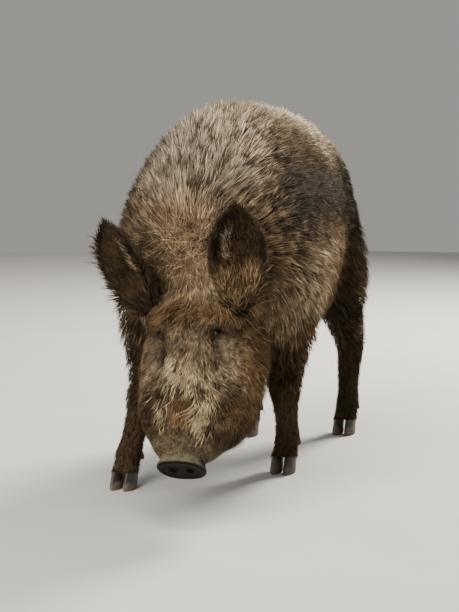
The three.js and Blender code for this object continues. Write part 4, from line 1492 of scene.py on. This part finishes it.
def settled(roots, reach=0.03):
    """The nearest skin point and its normal for each root, and which roots lie on the outside."""
    found = [skin_tree.find_nearest(Vector(r), reach) for r in roots]
    ok = np.array([f[0] is not None for f in found])
    spot = np.array([f[0] if f[0] is not None else (0, 0, 0) for f in found], float)
    normal = np.array([f[1] if f[1] is not None else (0, 0, 1) for f in found], float)
    inside = np.einsum("ij,ij->i", roots - spot, normal) < -DROP_DEPTH
    return spot, unit(normal), ok & ~inside


def rooted(grid, at, angle, count, density, keep=None, reach=0.03):
    """Roots scattered on a loft and settled on the skin, without those inside another limb and those
    that keep refuses. Gives place, normal, the directions along and round, and both parameters."""
    roots, ahead, beside, at, angle = scattered(grid, at, angle, count, density)
    spot, normal, ok = settled(roots, reach)
    if keep:
        ok &= keep(spot, at, angle)
    return tuple(v[ok] for v in (spot, normal, ahead, beside, at, angle))


# %% Lay a direction on the skin
def downward(beside, angle):
    """The direction round a loft that runs down its side, from the one that runs round it."""
    return -np.sign(np.cos(angle))[:, None] * beside


def along_skin(direction, normal):
    """A direction laid into the skin, as a unit vector."""
    return unit(direction - normal * np.einsum("ij,ij->i", direction, normal)[:, None])


def spread(values):
    """Values stretched over 0 to 1."""
    low, high = values.min(), values.max()
    return (values - low) / max(high - low, 1e-9)


def unwrapped(turn, at):
    """Places on the unwrap: a share of the way round, and how far along the piece."""
    return np.stack([turn, spread(at)], 1)


def turned_a_little(lie, normal, points, jitter):
    """The lie turned about the normal: slow waves over the body and a random share for each tuft."""
    x, y, z = points.T
    wave = 0.16 * np.sin(x * 41 + 2.1 * np.sin(z * 23)) + 0.12 * np.sin(y * 57 + z * 37)
    turn = (wave + rng.normal(0, 1, len(lie)) * jitter)[:, None]
    return lie * np.cos(turn) + np.cross(normal, lie) * np.sin(turn)


# %% [markdown]
# ## Coat of the body and head
# Two tables over the body's length steer the coat: the tuft's length, and how much of its lie runs
# backward and down. On the body bristles lie backward and curve down the flanks. On the crown, where
# the two directions meet, they are finer and lie lower and mixed. From there they fall towards the
# snout, as a bushy mop over the brow and then as a fan over the muzzle and cheeks.

# %% Lie and length on the body
# at, length at the top, upper side, side, lower side and underneath
COAT_LENGTH = np.array([
    [0, 28, 28, 28, 28, 28],
    [90, 42, 42, 42, 46, 48],
    [300, 54, 50, 46, 56, 66],
    [590, 64, 54, 48, 62, 70],
    [730, 70, 56, 50, 66, 70],
    [850, 68, 56, 52, 68, 64],
    [960, 60, 54, 52, 64, 56],
    [1040, 54, 50, 50, 60, 52],
    [HEAD_START - 20, 50, 46, 48, 56, 50],
    [HEAD_START + 30, 46, 40, 48, 54, 46],
    [HEAD_START + 62, 44, 34, 46, 52, 44],
    [HEAD_START + 88, 30, 20, 44, 50, 42],
    [HEAD_START + 112, 18, 11, 38, 48, 40],
    [HEAD_START + 150, 19, 15, 38, 46, 38],
    [HEAD_START + 200, 24, 22, 38, 46, 36],
    [HEAD_START + 250, 26, 25, 36, 44, 34],
    [HEAD_START + 300, 18, 18, 20, 24, 20],
    [HEAD_START + 332, 11, 11, 12, 14, 12],
    [HEAD_START + HEAD_LENGTH, 6, 6, 6, 6, 6],
])
# at, share along the body (minus is backward, plus is towards the snout), share down, for the same five
LIE = np.array([
    [0, -0.6, -0.6, -0.6, -0.5, -0.6, 0.3, 0.8, 0.8, 0.8, 0.2],
    [120, -1, -0.9, -0.8, -0.6, -1, 0, 0.5, 0.7, 0.9, 0.2],
    [400, -1, -1, -1, -0.9, -1, 0, 0.25, 0.45, 0.8, 0.2],
    [700, -1, -1, -1, -0.8, -1, 0, 0.2, 0.4, 0.9, 0.2],
    [900, -1, -1, -0.9, -0.6, -1, 0, 0.3, 0.6, 1, 0.2],
    [1000, -1, -0.9, -0.7, -0.4, -0.8, 0, 0.35, 0.8, 1, 0.3],
    [HEAD_START - 80, -0.8, -0.6, -0.5, -0.3, -0.6, 0, 0.35, 0.8, 1, 0.4],
    [HEAD_START - 45, 0.1, 0.1, -0.1, 0.0, -0.2, 0, 0.4, 0.9, 1, 0.4],
    [HEAD_START - 10, 0.9, 0.7, 0.3, 0.2, 0.2, 0, 0.5, 0.9, 0.9, 0.5],
    [HEAD_START + 100, 1, 0.8, 0.5, 0.6, 0.5, 0, 0.4, 0.8, 0.6, 0.4],
    [HEAD_START + 160, 1, 0.75, 0.7, 0.8, 0.7, 0, 0.75, 0.6, 0.4, 0.3],
    [HEAD_START + 250, 1, 0.75, 0.8, 0.9, 0.8, 0, 0.75, 0.5, 0.3, 0.3],
    [HEAD_START + HEAD_LENGTH, 1, 0.8, 0.8, 0.8, 0.8, 0, 0.5, 0.4, 0.3, 0.3],
])
LIE_ALONG, LIE_DOWN = LIE[:, :6], LIE[:, [0, 6, 7, 8, 9, 10]]
TUFT_WIDTH = {"least": 0.88, "share": 0.026, "most": 2.0}
SHORTEST_COVER = 11.0  # shorter hair than this grows no denser, as the skin shows between it
PARTING = HEAD_START - 45  # where the coat turns from backward to forward
print("coat is", COAT_LENGTH[:, 1:].min(), "to", COAT_LENGTH[:, 1:].max(), "mm long and parts at", PARTING)


def width_for(length):
    """Longer tufts are wider, up to a limit, in millimetres."""
    return np.minimum(TUFT_WIDTH["least"] + TUFT_WIDTH["share"] * length, TUFT_WIDTH["most"])


def at_parting(at, angle):
    """1 at the top of the crown's parting, fading along and round the body."""
    return hump(at, PARTING, 42) * smooth(-10, 50, level_of(angle))


def even_cover(at, angle):
    """As many tufts as cover every stretch alike: one over their length times width, twice that
    where the coat parts on the crown and 1.8 times that at the end of the muzzle."""
    length = np.maximum(by_level(COAT_LENGTH, at, angle), SHORTEST_COVER)
    thick = 1 + at_parting(at, angle) + 0.8 * smooth(HEAD_START + 325, HEAD_START + 345, at)
    return thick / (length * width_for(length))


def table_lie(ahead, beside, at, angle):
    """ahead * share along + down * share down, with both shares from the tables."""
    shares = (by_level(table, at, angle)[:, None] for table in (LIE_ALONG, LIE_DOWN))
    return sum(way * share for way, share in zip((ahead, downward(beside, angle)), shares))


# %% Roots on the body
BODY_TUFTS = 234000
EYE_ROOM = {"half": LID["half"] + 1.5, "high": 5.0, "reach": 20.0, "shortest": 4.5, "gap": 4.0}
FAR_OFF = 99.0
BODY = (body_grid, body_at, body_angle)
roots, ahead, beside, at, angle = scattered(*BODY, BODY_TUFTS, even_cover)
spot, normal, ok = settled(roots)
ok &= at < HEAD_START + HEAD_LENGTH - 3
length = by_level(COAT_LENGTH, at, angle) * rng.uniform(0.75, 1.2, len(at))
for way in (-1, 1):
    x, y, z = by_eye(spot, way).T
    r = np.where(z > -EYE_RADIUS, np.hypot(x, y), FAR_OFF)
    ok &= (x / EYE_ROOM["half"]) ** 2 + (y / EYE_ROOM["high"]) ** 2 + (r > EYE_ROOM["reach"]) > 1
    # no hair hangs over the eye's opening
    length = np.minimum(length, np.maximum(EYE_ROOM["shortest"], r - EYE_ROOM["gap"]))

roots, normal, ahead, beside, at, angle, length = (
    v[ok] for v in (spot, normal, ahead, beside, at, angle, length))
level, parting = level_of(angle), at_parting(at, angle)
tousled = at + rng.normal(0, 16, len(at)) * parting  # the two directions mix where the coat parts
lie = table_lie(ahead, beside, tousled, angle)
lie = along_skin(lie + rng.normal(0, 0.4, lie.shape) * parting[:, None], normal)
on_head_part = smooth(HEAD_START - 60, HEAD_START + 40, at)
lie = turned_a_little(lie, normal, roots, 0.14 + 0.14 * on_head_part)
depth = by_level(COAT_DEPTH, at, angle)
mop = hump(at - HEAD_START, 58, 22) * smooth(25, 50, level)
rise = depth * rng.uniform(0.35, 1.08, len(at)) * (1 - 0.4 * parting + 0.45 * mop)
rise = np.minimum(np.maximum(rise, 0.12 * length), 0.92 * length)
fine = bell(in_head(roots), (-35, 0, 95), (65, 110, 80))  # finer bristles on the crown
width = width_for(length) * rng.uniform(0.75, 1.2, len(at)) * (1 - 0.35 * fine)
hang = (0.30 * smooth(10, -40, level) + 0.25 * smooth(-50, -80, level)) * length
# the mop bends more to the sides than the rest
curl = 0.07 + 0.14 * hump(at - HEAD_START, 50, 50)
print("body roots:", len(roots))

# %% Body pieces
FACE_FROM = HEAD_START - 12
PAST_END = 2000
SECTORS = {  # piece: at from, at to, level from, level to, side (0 for both), material slot
    "coat_forehead": (FACE_FROM, HEAD_START + 120, 15, 91, 0, "face_coat"),
    "coat_muzzle": (HEAD_START + 120, PAST_END, 15, 91, 0, "face_coat"),
    "coat_cheek_left": (FACE_FROM, PAST_END, -91, 15, 1, "face_coat"),
    "coat_cheek_right": (FACE_FROM, PAST_END, -91, 15, -1, "face_coat"),
    "coat_nape": (860, FACE_FROM, 20, 91, 0, "coat"),
    "coat_mane": (520, 860, 30, 91, 0, "coat"),
    "coat_rump": (-1, 520, 30, 91, 0, "coat"),
    "coat_neck_left": (860, FACE_FROM, -91, 20, 1, "coat"),
    "coat_neck_right": (860, FACE_FROM, -91, 20, -1, "coat"),
    "coat_flank_left": (520, 860, -91, 30, 1, "coat"),
    "coat_flank_right": (520, 860, -91, 30, -1, "coat"),
    "coat_haunch_left": (-1, 520, -91, 30, 1, "coat"),
    "coat_haunch_right": (-1, 520, -91, 30, -1, "coat"),
}
BODY_LOCKS = {"lock": 16, "pull": 0.52}
MUZZLE_LOCKS = {"lock": 26, "pull": 0.45}
# how far a tuft's markings are looked up from its root, in metres, which blurs their edges
STRAY = {"body": 0.024, "less on the head": 0.020}
hand_of = np.sign(np.cos(angle))
# lighter tones on the crown and forelock: painted light against the shade of the standing hair there
crown_painted_light = 0.7 * bell(in_head(roots), (-14, 12, 80), (46, 50, 66))
strays = rng.normal(0, 1, roots.shape) * (STRAY["body"] - STRAY["less on the head"] * on_head_part)[:, None]
for name, (at_from, at_to, level_from, level_to, hand, slot) in SECTORS.items():
    part = (at >= at_from) & (at < at_to) & (level >= level_from) & (level < level_to)
    part &= (hand == 0) | (hand_of == hand)
    over = angle if hand == 0 else level
    matted = MUZZLE_LOCKS if name == "coat_muzzle" else BODY_LOCKS
    tufts(name, roots[part], normal[part], lie[part], length[part], rise[part], width[part],
          unwrapped(spread(over[part]), at[part]), markings((roots + strays)[part]), slot,
          sway=curl[part], sag=hang[part], light=crown_painted_light[part], **matted)

# %% Bleached strands on the muzzle
STRANDS = 2300


def muzzle_cover(at, angle):
    """On the upper half of the muzzle, from the eyes to the snout, in bunches that follow its length
    and are sparse on its ridge and on the boar's right."""
    s, level = at - HEAD_START, level_of(angle)
    side = smooth(38, 60, level) * (1 - 0.9 * smooth(64, 82, level) * smooth(205, 235, s))
    side = side * np.where(np.cos(angle) < 0, 1 - 0.88 * smooth(175, 225, s), 1)
    bunches = 0.5 + 0.5 * np.sin(angle * 13 + 1.6 * np.sin(s / 17)) * np.sin(s / 11 + angle * 5)
    return smooth(140, 215, s) * (1 - smooth(300, 345, s)) * side * bunches**2


def on_the_fan(spot, at, _):
    """Strands stay inside the muzzle's upper face, and few stay on the brown patch above the disc."""
    along, left, _ = in_head(spot).T
    ok = left < np.interp(along, [150, 230, 300], [40, 56, 66])
    ok &= -left < np.interp(along, [150, 230, 300], [52, 70, 50])
    return ok & (rng.random(len(at)) > 0.9 * smooth(245, 275, along) * smooth(50, 34, np.abs(left)))


def bleached(pale, warm, straw):
    """Shares of bristles with no dark in them."""
    return np.stack(np.broadcast_arrays(pale, warm, straw, 0.0), 1)


def strands():
    """Long thin bristles, bleached to straw, that lie loosely over the muzzle's own coat and fan
    outwards towards the snout."""
    spot, normal, ahead, beside, at, angle = rooted(*BODY, STRANDS, muzzle_cover, on_the_fan)
    along, level, n = in_head(spot)[:, 0], level_of(angle), len(at)
    fan = ((0.1 + 0.7 * smooth(90, 55, level)) * smooth(290, 225, along))[:, None]
    lie = along_skin(ahead + downward(beside, angle) * fan, normal)
    lie = turned_a_little(lie, normal, spot, 0.3)
    length = rng.uniform(28, 64, n) * (1 - 0.45 * smooth(HEAD_START + 250, HEAD_START + 330, at))
    length *= 1 - 0.4 * smooth(64, 84, level)
    rise = rng.uniform(4, 12, n)
    tufts("coat_strands", spot, normal, lie, length, rise, 1.2, unwrapped(spread(angle), at),
          bleached(0.45, 0.2, rng.uniform(0.1, 0.95, n)), "face_coat", sway=0.2, lock=4, pull=0.55,
          long_shape=STRAND, light=0.4)


strands()


# %% Bleached fringe on the lower flank
FRINGE_STRANDS = 10000


def flank_cover(at, angle):
    """Evenly over both flanks, from the haunch to the neck."""
    level = level_of(angle)
    return (at > 400) * (at < 1060) * (level < 30) * (level > -75)


def in_the_fringe(spot, at, _):
    """A share of the scattered roots stays that follows the fringe of the markings."""
    level, p = body_place(spot)
    return rng.random(len(at)) < fringe_at(level, p[:, 1])


def fringe():
    """Long pale bristles over the darker coat of both flanks, which lie back and hang at their tips."""
    spot, normal, ahead, beside, at, angle = rooted(*BODY, FRINGE_STRANDS, flank_cover, in_the_fringe)
    lie = along_skin(table_lie(ahead, beside, at, angle), normal)
    lie = turned_a_little(lie, normal, spot, 0.16)
    length = rng.uniform(42, 78, len(at))
    rise = by_level(COAT_DEPTH, at, angle) * rng.uniform(0.75, 1.05, len(at))
    tufts("coat_fringe", spot, normal, lie, length, rise, 1.5, unwrapped(spread(level_of(angle)), at),
          bleached(0.8, 0.1, rng.uniform(0.0, 0.5, len(at))), sway=0.12, sag=0.22 * length, lock=6,
          pull=0.55, long_shape=STRAND, light=0.25)


fringe()

# %% [markdown]
# ## Coat of the legs, ears and tail
# Leg hair lies down the limb, long on the thigh and short on the cannon. Ear hair runs to the point,
# thickest along the rim, and hangs over the open side. The tail ends in a brush.

# %% Legs
LEG_HAIR = np.array([  # height, length, depth of the coat
    [40, 12, 4], [60, 14, 5], [115, 16, 5], [205, 20, 8], [240, 28, 12], [320, 44, 20], [400, 50, 26],
    [720, 50, 26],
])
LEG_TUFTS = 10500


def leg_coat(name):
    """Tufts down one leg, a little backward, under everything that the trunk's own coat covers."""
    top = LEG_TABLE[end_and_way(name)[0]][0, 0]

    def hair(at):
        """Length of the hair and depth of the coat at a place down the leg."""
        return through(LEG_HAIR[:, 0], LEG_HAIR[:, 1:], top - at.ravel()).T.reshape(2, *at.shape)

    def cover(at, _):
        """One over the length times the width, so that the leg is covered evenly."""
        return 1 / (hair(at)[0] * width_for(hair(at)[0]))

    def above_hoof(_, at, __):
        """No hair grows on the claws."""
        return top - at > HOOF_HEIGHT + 1

    spot, normal, ahead, beside, at, angle = rooted(*legs[name], LEG_TUFTS, cover, above_hoof)
    backward = smooth(0.05, 0.6, np.abs(np.cos(angle)))[:, None] * downward(beside, angle)
    lie = turned_a_little(along_skin(ahead + 0.4 * backward, normal), normal, spot, 0.2)
    length, depth = hair(at)
    length = length * rng.uniform(0.75, 1.2, len(at))
    rise = depth * rng.uniform(0.4, 1.05, len(at))
    tufts(f"coat_{name}", spot, normal, lie, length, rise, width_for(length) * 1.1,
          unwrapped(angle / (2 * np.pi), at), markings(spot), "dark_coat")


for name in LEG_NAMES:
    leg_coat(name)

# %% Ears
EAR_TUFTS = 8500
INSIDE_SHARES = np.array([0.0, 0.4, 0, 0.84])
STREAK_SHARES = np.array([0.9, 0.1, 0.2, 0.05])
# shares at the root inside each ear; the right ear's root is darker than the left's as painted shade
BASE_SHARES = {"left": np.array([0.25, 0.5, 0, 0.5]), "right": np.array([0.25, 0.5, 0, 0.9])}


def rim_of(angle):
    """1 along both edges of an ear, 0 on the middle of its faces."""
    return np.abs(np.cos(angle)) ** 6


def ear_coat(hand):
    """Short hair up the back of the ear, longer hair from the rim, its root and over the cup, brown
    inside with one pale streak. The right ear's root is darker than the left's, as painted shade."""
    *loft_of_ear, out = ears[hand]
    spot, normal, ahead, _, t, angle = rooted(
        *loft_of_ear, EAR_TUFTS, lambda t, a: (t > -0.3) * (1 + 1.5 * rim_of(a)), reach=0.022)
    inner, base = np.sin(angle) > 0, smooth(0.3, 0.0, t)
    outwards = np.sign(np.cos(angle))[:, None] * np.cross(unit(ahead), out)
    lie = ahead + (0.5 * rim_of(angle) + 0.25)[:, None] * np.where(inner, 1, -1)[:, None] * outwards * 0.5
    lie = turned_a_little(along_skin(lie, normal), normal, spot, 0.22 + 0.2 * inner)
    length = np.where(inner, 26, 17) * rng.uniform(0.7, 1.25, len(t)) * (1 - 0.35 * smooth(0.6, 1, t))
    length = length + 13 * rim_of(angle) * rng.random(len(t)) + 14 * base
    rise = np.where(inner, 7, 4.5) * rng.uniform(0.5, 1.2, len(t)) + 4 * rim_of(angle) + 5 * base
    cup = (inner * (1 - rim_of(angle)) * smooth(0.92, 0.6, t))[:, None]
    medial = np.cos(angle) * (1 if hand == "left" else -1)
    streak = (hump(medial, -0.35, 0.16) * smooth(0.1, 0.25, t) * smooth(0.75, 0.6, t))[:, None]
    shares = EAR_SHARES + cup * (INSIDE_SHARES - EAR_SHARES)
    shares = shares + cup * streak * (STREAK_SHARES - shares)
    shares = shares + base[:, None] * inner[:, None] * (BASE_SHARES[hand] - shares)
    tufts(f"coat_ear_{hand}", spot, normal, lie, length, np.minimum(rise, 0.8 * length),
          width_for(length) * 1.05, unwrapped(angle / (2 * np.pi), t), shares, "dark_coat", lock=5)


for hand in EARS:
    ear_coat(hand)


# %% Tail
TAIL_TUFTS = 1600


def tail_coat():
    """Hair down the tail, longer towards its end, where it makes the brush."""
    spot, normal, ahead, _, at, angle = rooted(
        *tail, TAIL_TUFTS, lambda at, _: 1 + 2.5 * smooth(200, 320, at), reach=0.012)
    brush = smooth(200, 300, at)
    length = (18 + 52 * brush) * rng.uniform(0.7, 1.1, len(at))
    length = np.minimum(length, np.maximum(14, 398 - at))
    rise = (4 + 9 * brush) * rng.uniform(0.3, 1.1, len(at))
    lie = turned_a_little(along_skin(ahead, normal), normal, spot, 0.12)
    shares = np.stack(np.broadcast_arrays(0.1, 0.15, 0, 0.45 + 0.4 * brush), 1)
    tufts("coat_tail", spot, normal, lie, length, rise, 2.0 + brush,
          unwrapped(angle / (2 * np.pi), at), shares, "dark_coat")


tail_coat()
print("coat:", sum(TRIANGLES), "triangles, largest piece", max(TRIANGLES))

# %% [markdown]
# ## Light and floor
# Soft studio light: a strong warm lamp high behind the boar makes the pale rim along the back. A wide
# one in front opens up the face, a small one above brightens the crown, and a weak cool one on the
# boar's right fills the shadows. The floor is plain and pale.

# %% Light
LAMPS = {  # place, aim, power, size, colour
    "sun behind": ((1.1, 3.7, 3.0), (0, 0.1, 0.7), 560, 1.2, (1.0, 0.95, 0.87)),
    "front": ((-0.7, -4.3, 3.0), (0, -0.3, 0.4), 260, 2.4, (1.0, 0.96, 0.90)),
    "over the crown": ((0.1, -1.0, 2.6), (0.03, -0.42, 0.5), 36, 0.9, (1.0, 0.96, 0.90)),
    "cool side": ((-3.2, -1.2, 2.2), (0, -0.1, 0.5), 40, 2.4, (0.90, 0.95, 1.0)),
}
for name, (spot_at, aim, power, size, tint) in LAMPS.items():
    lamp = bpy.data.lights.new(name, "AREA")
    lamp.energy, lamp.size, lamp.color = power, size, tint
    holder = bpy.data.objects.new(name, lamp)
    holder.location = spot_at
    holder.rotation_euler = (Vector(aim) - Vector(spot_at)).to_track_quat("-Z", "Y").to_euler()
    bpy.context.scene.collection.objects.link(holder)

world = bpy.data.worlds.new("studio")
world.use_nodes = True
surroundings = world.node_tree.nodes["Background"].inputs
surroundings["Color"].default_value = (0.90, 0.87, 0.82, 1)
surroundings["Strength"].default_value = 0.38
bpy.context.scene.world = world
print("lamps:", list(LAMPS))

# %% Floor
FLOOR_RADIUS = 6.5
FLOOR_SIDES = 96
bearing = circle(FLOOR_SIDES)
floor_edge = np.stack([np.cos(bearing), np.sin(bearing), 0 * bearing], 1) * FLOOR_RADIUS
corner = np.arange(FLOOR_SIDES)
wedges = np.stack([np.full(FLOOR_SIDES, FLOOR_SIDES), corner, (corner + 1) % FLOOR_SIDES], 1)
floor = new_mesh("floor", np.concatenate([floor_edge, np.zeros((1, 3))]), wedges)
plaster, tree, shader = material("studio_floor", Specular_IOR_Level=0.2)
mottled = noise(tree, object_place(tree), 3.0, 4.0)
tree.links.new(blend(tree, mottled, (0.50, 0.49, 0.47, 1), (0.57, 0.56, 0.54, 1)), shader["Base Color"])
shader["Roughness"].default_value = 0.8
floor.data.materials.append(plaster)
floor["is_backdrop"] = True

# %% Size of the finished model
visual_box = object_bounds()
growth = [[round((v - c) / MM, 1) for v, c in zip(a, b)] for a, b in zip(visual_box, cad_box)]
print("box grows by (mm):", growth)
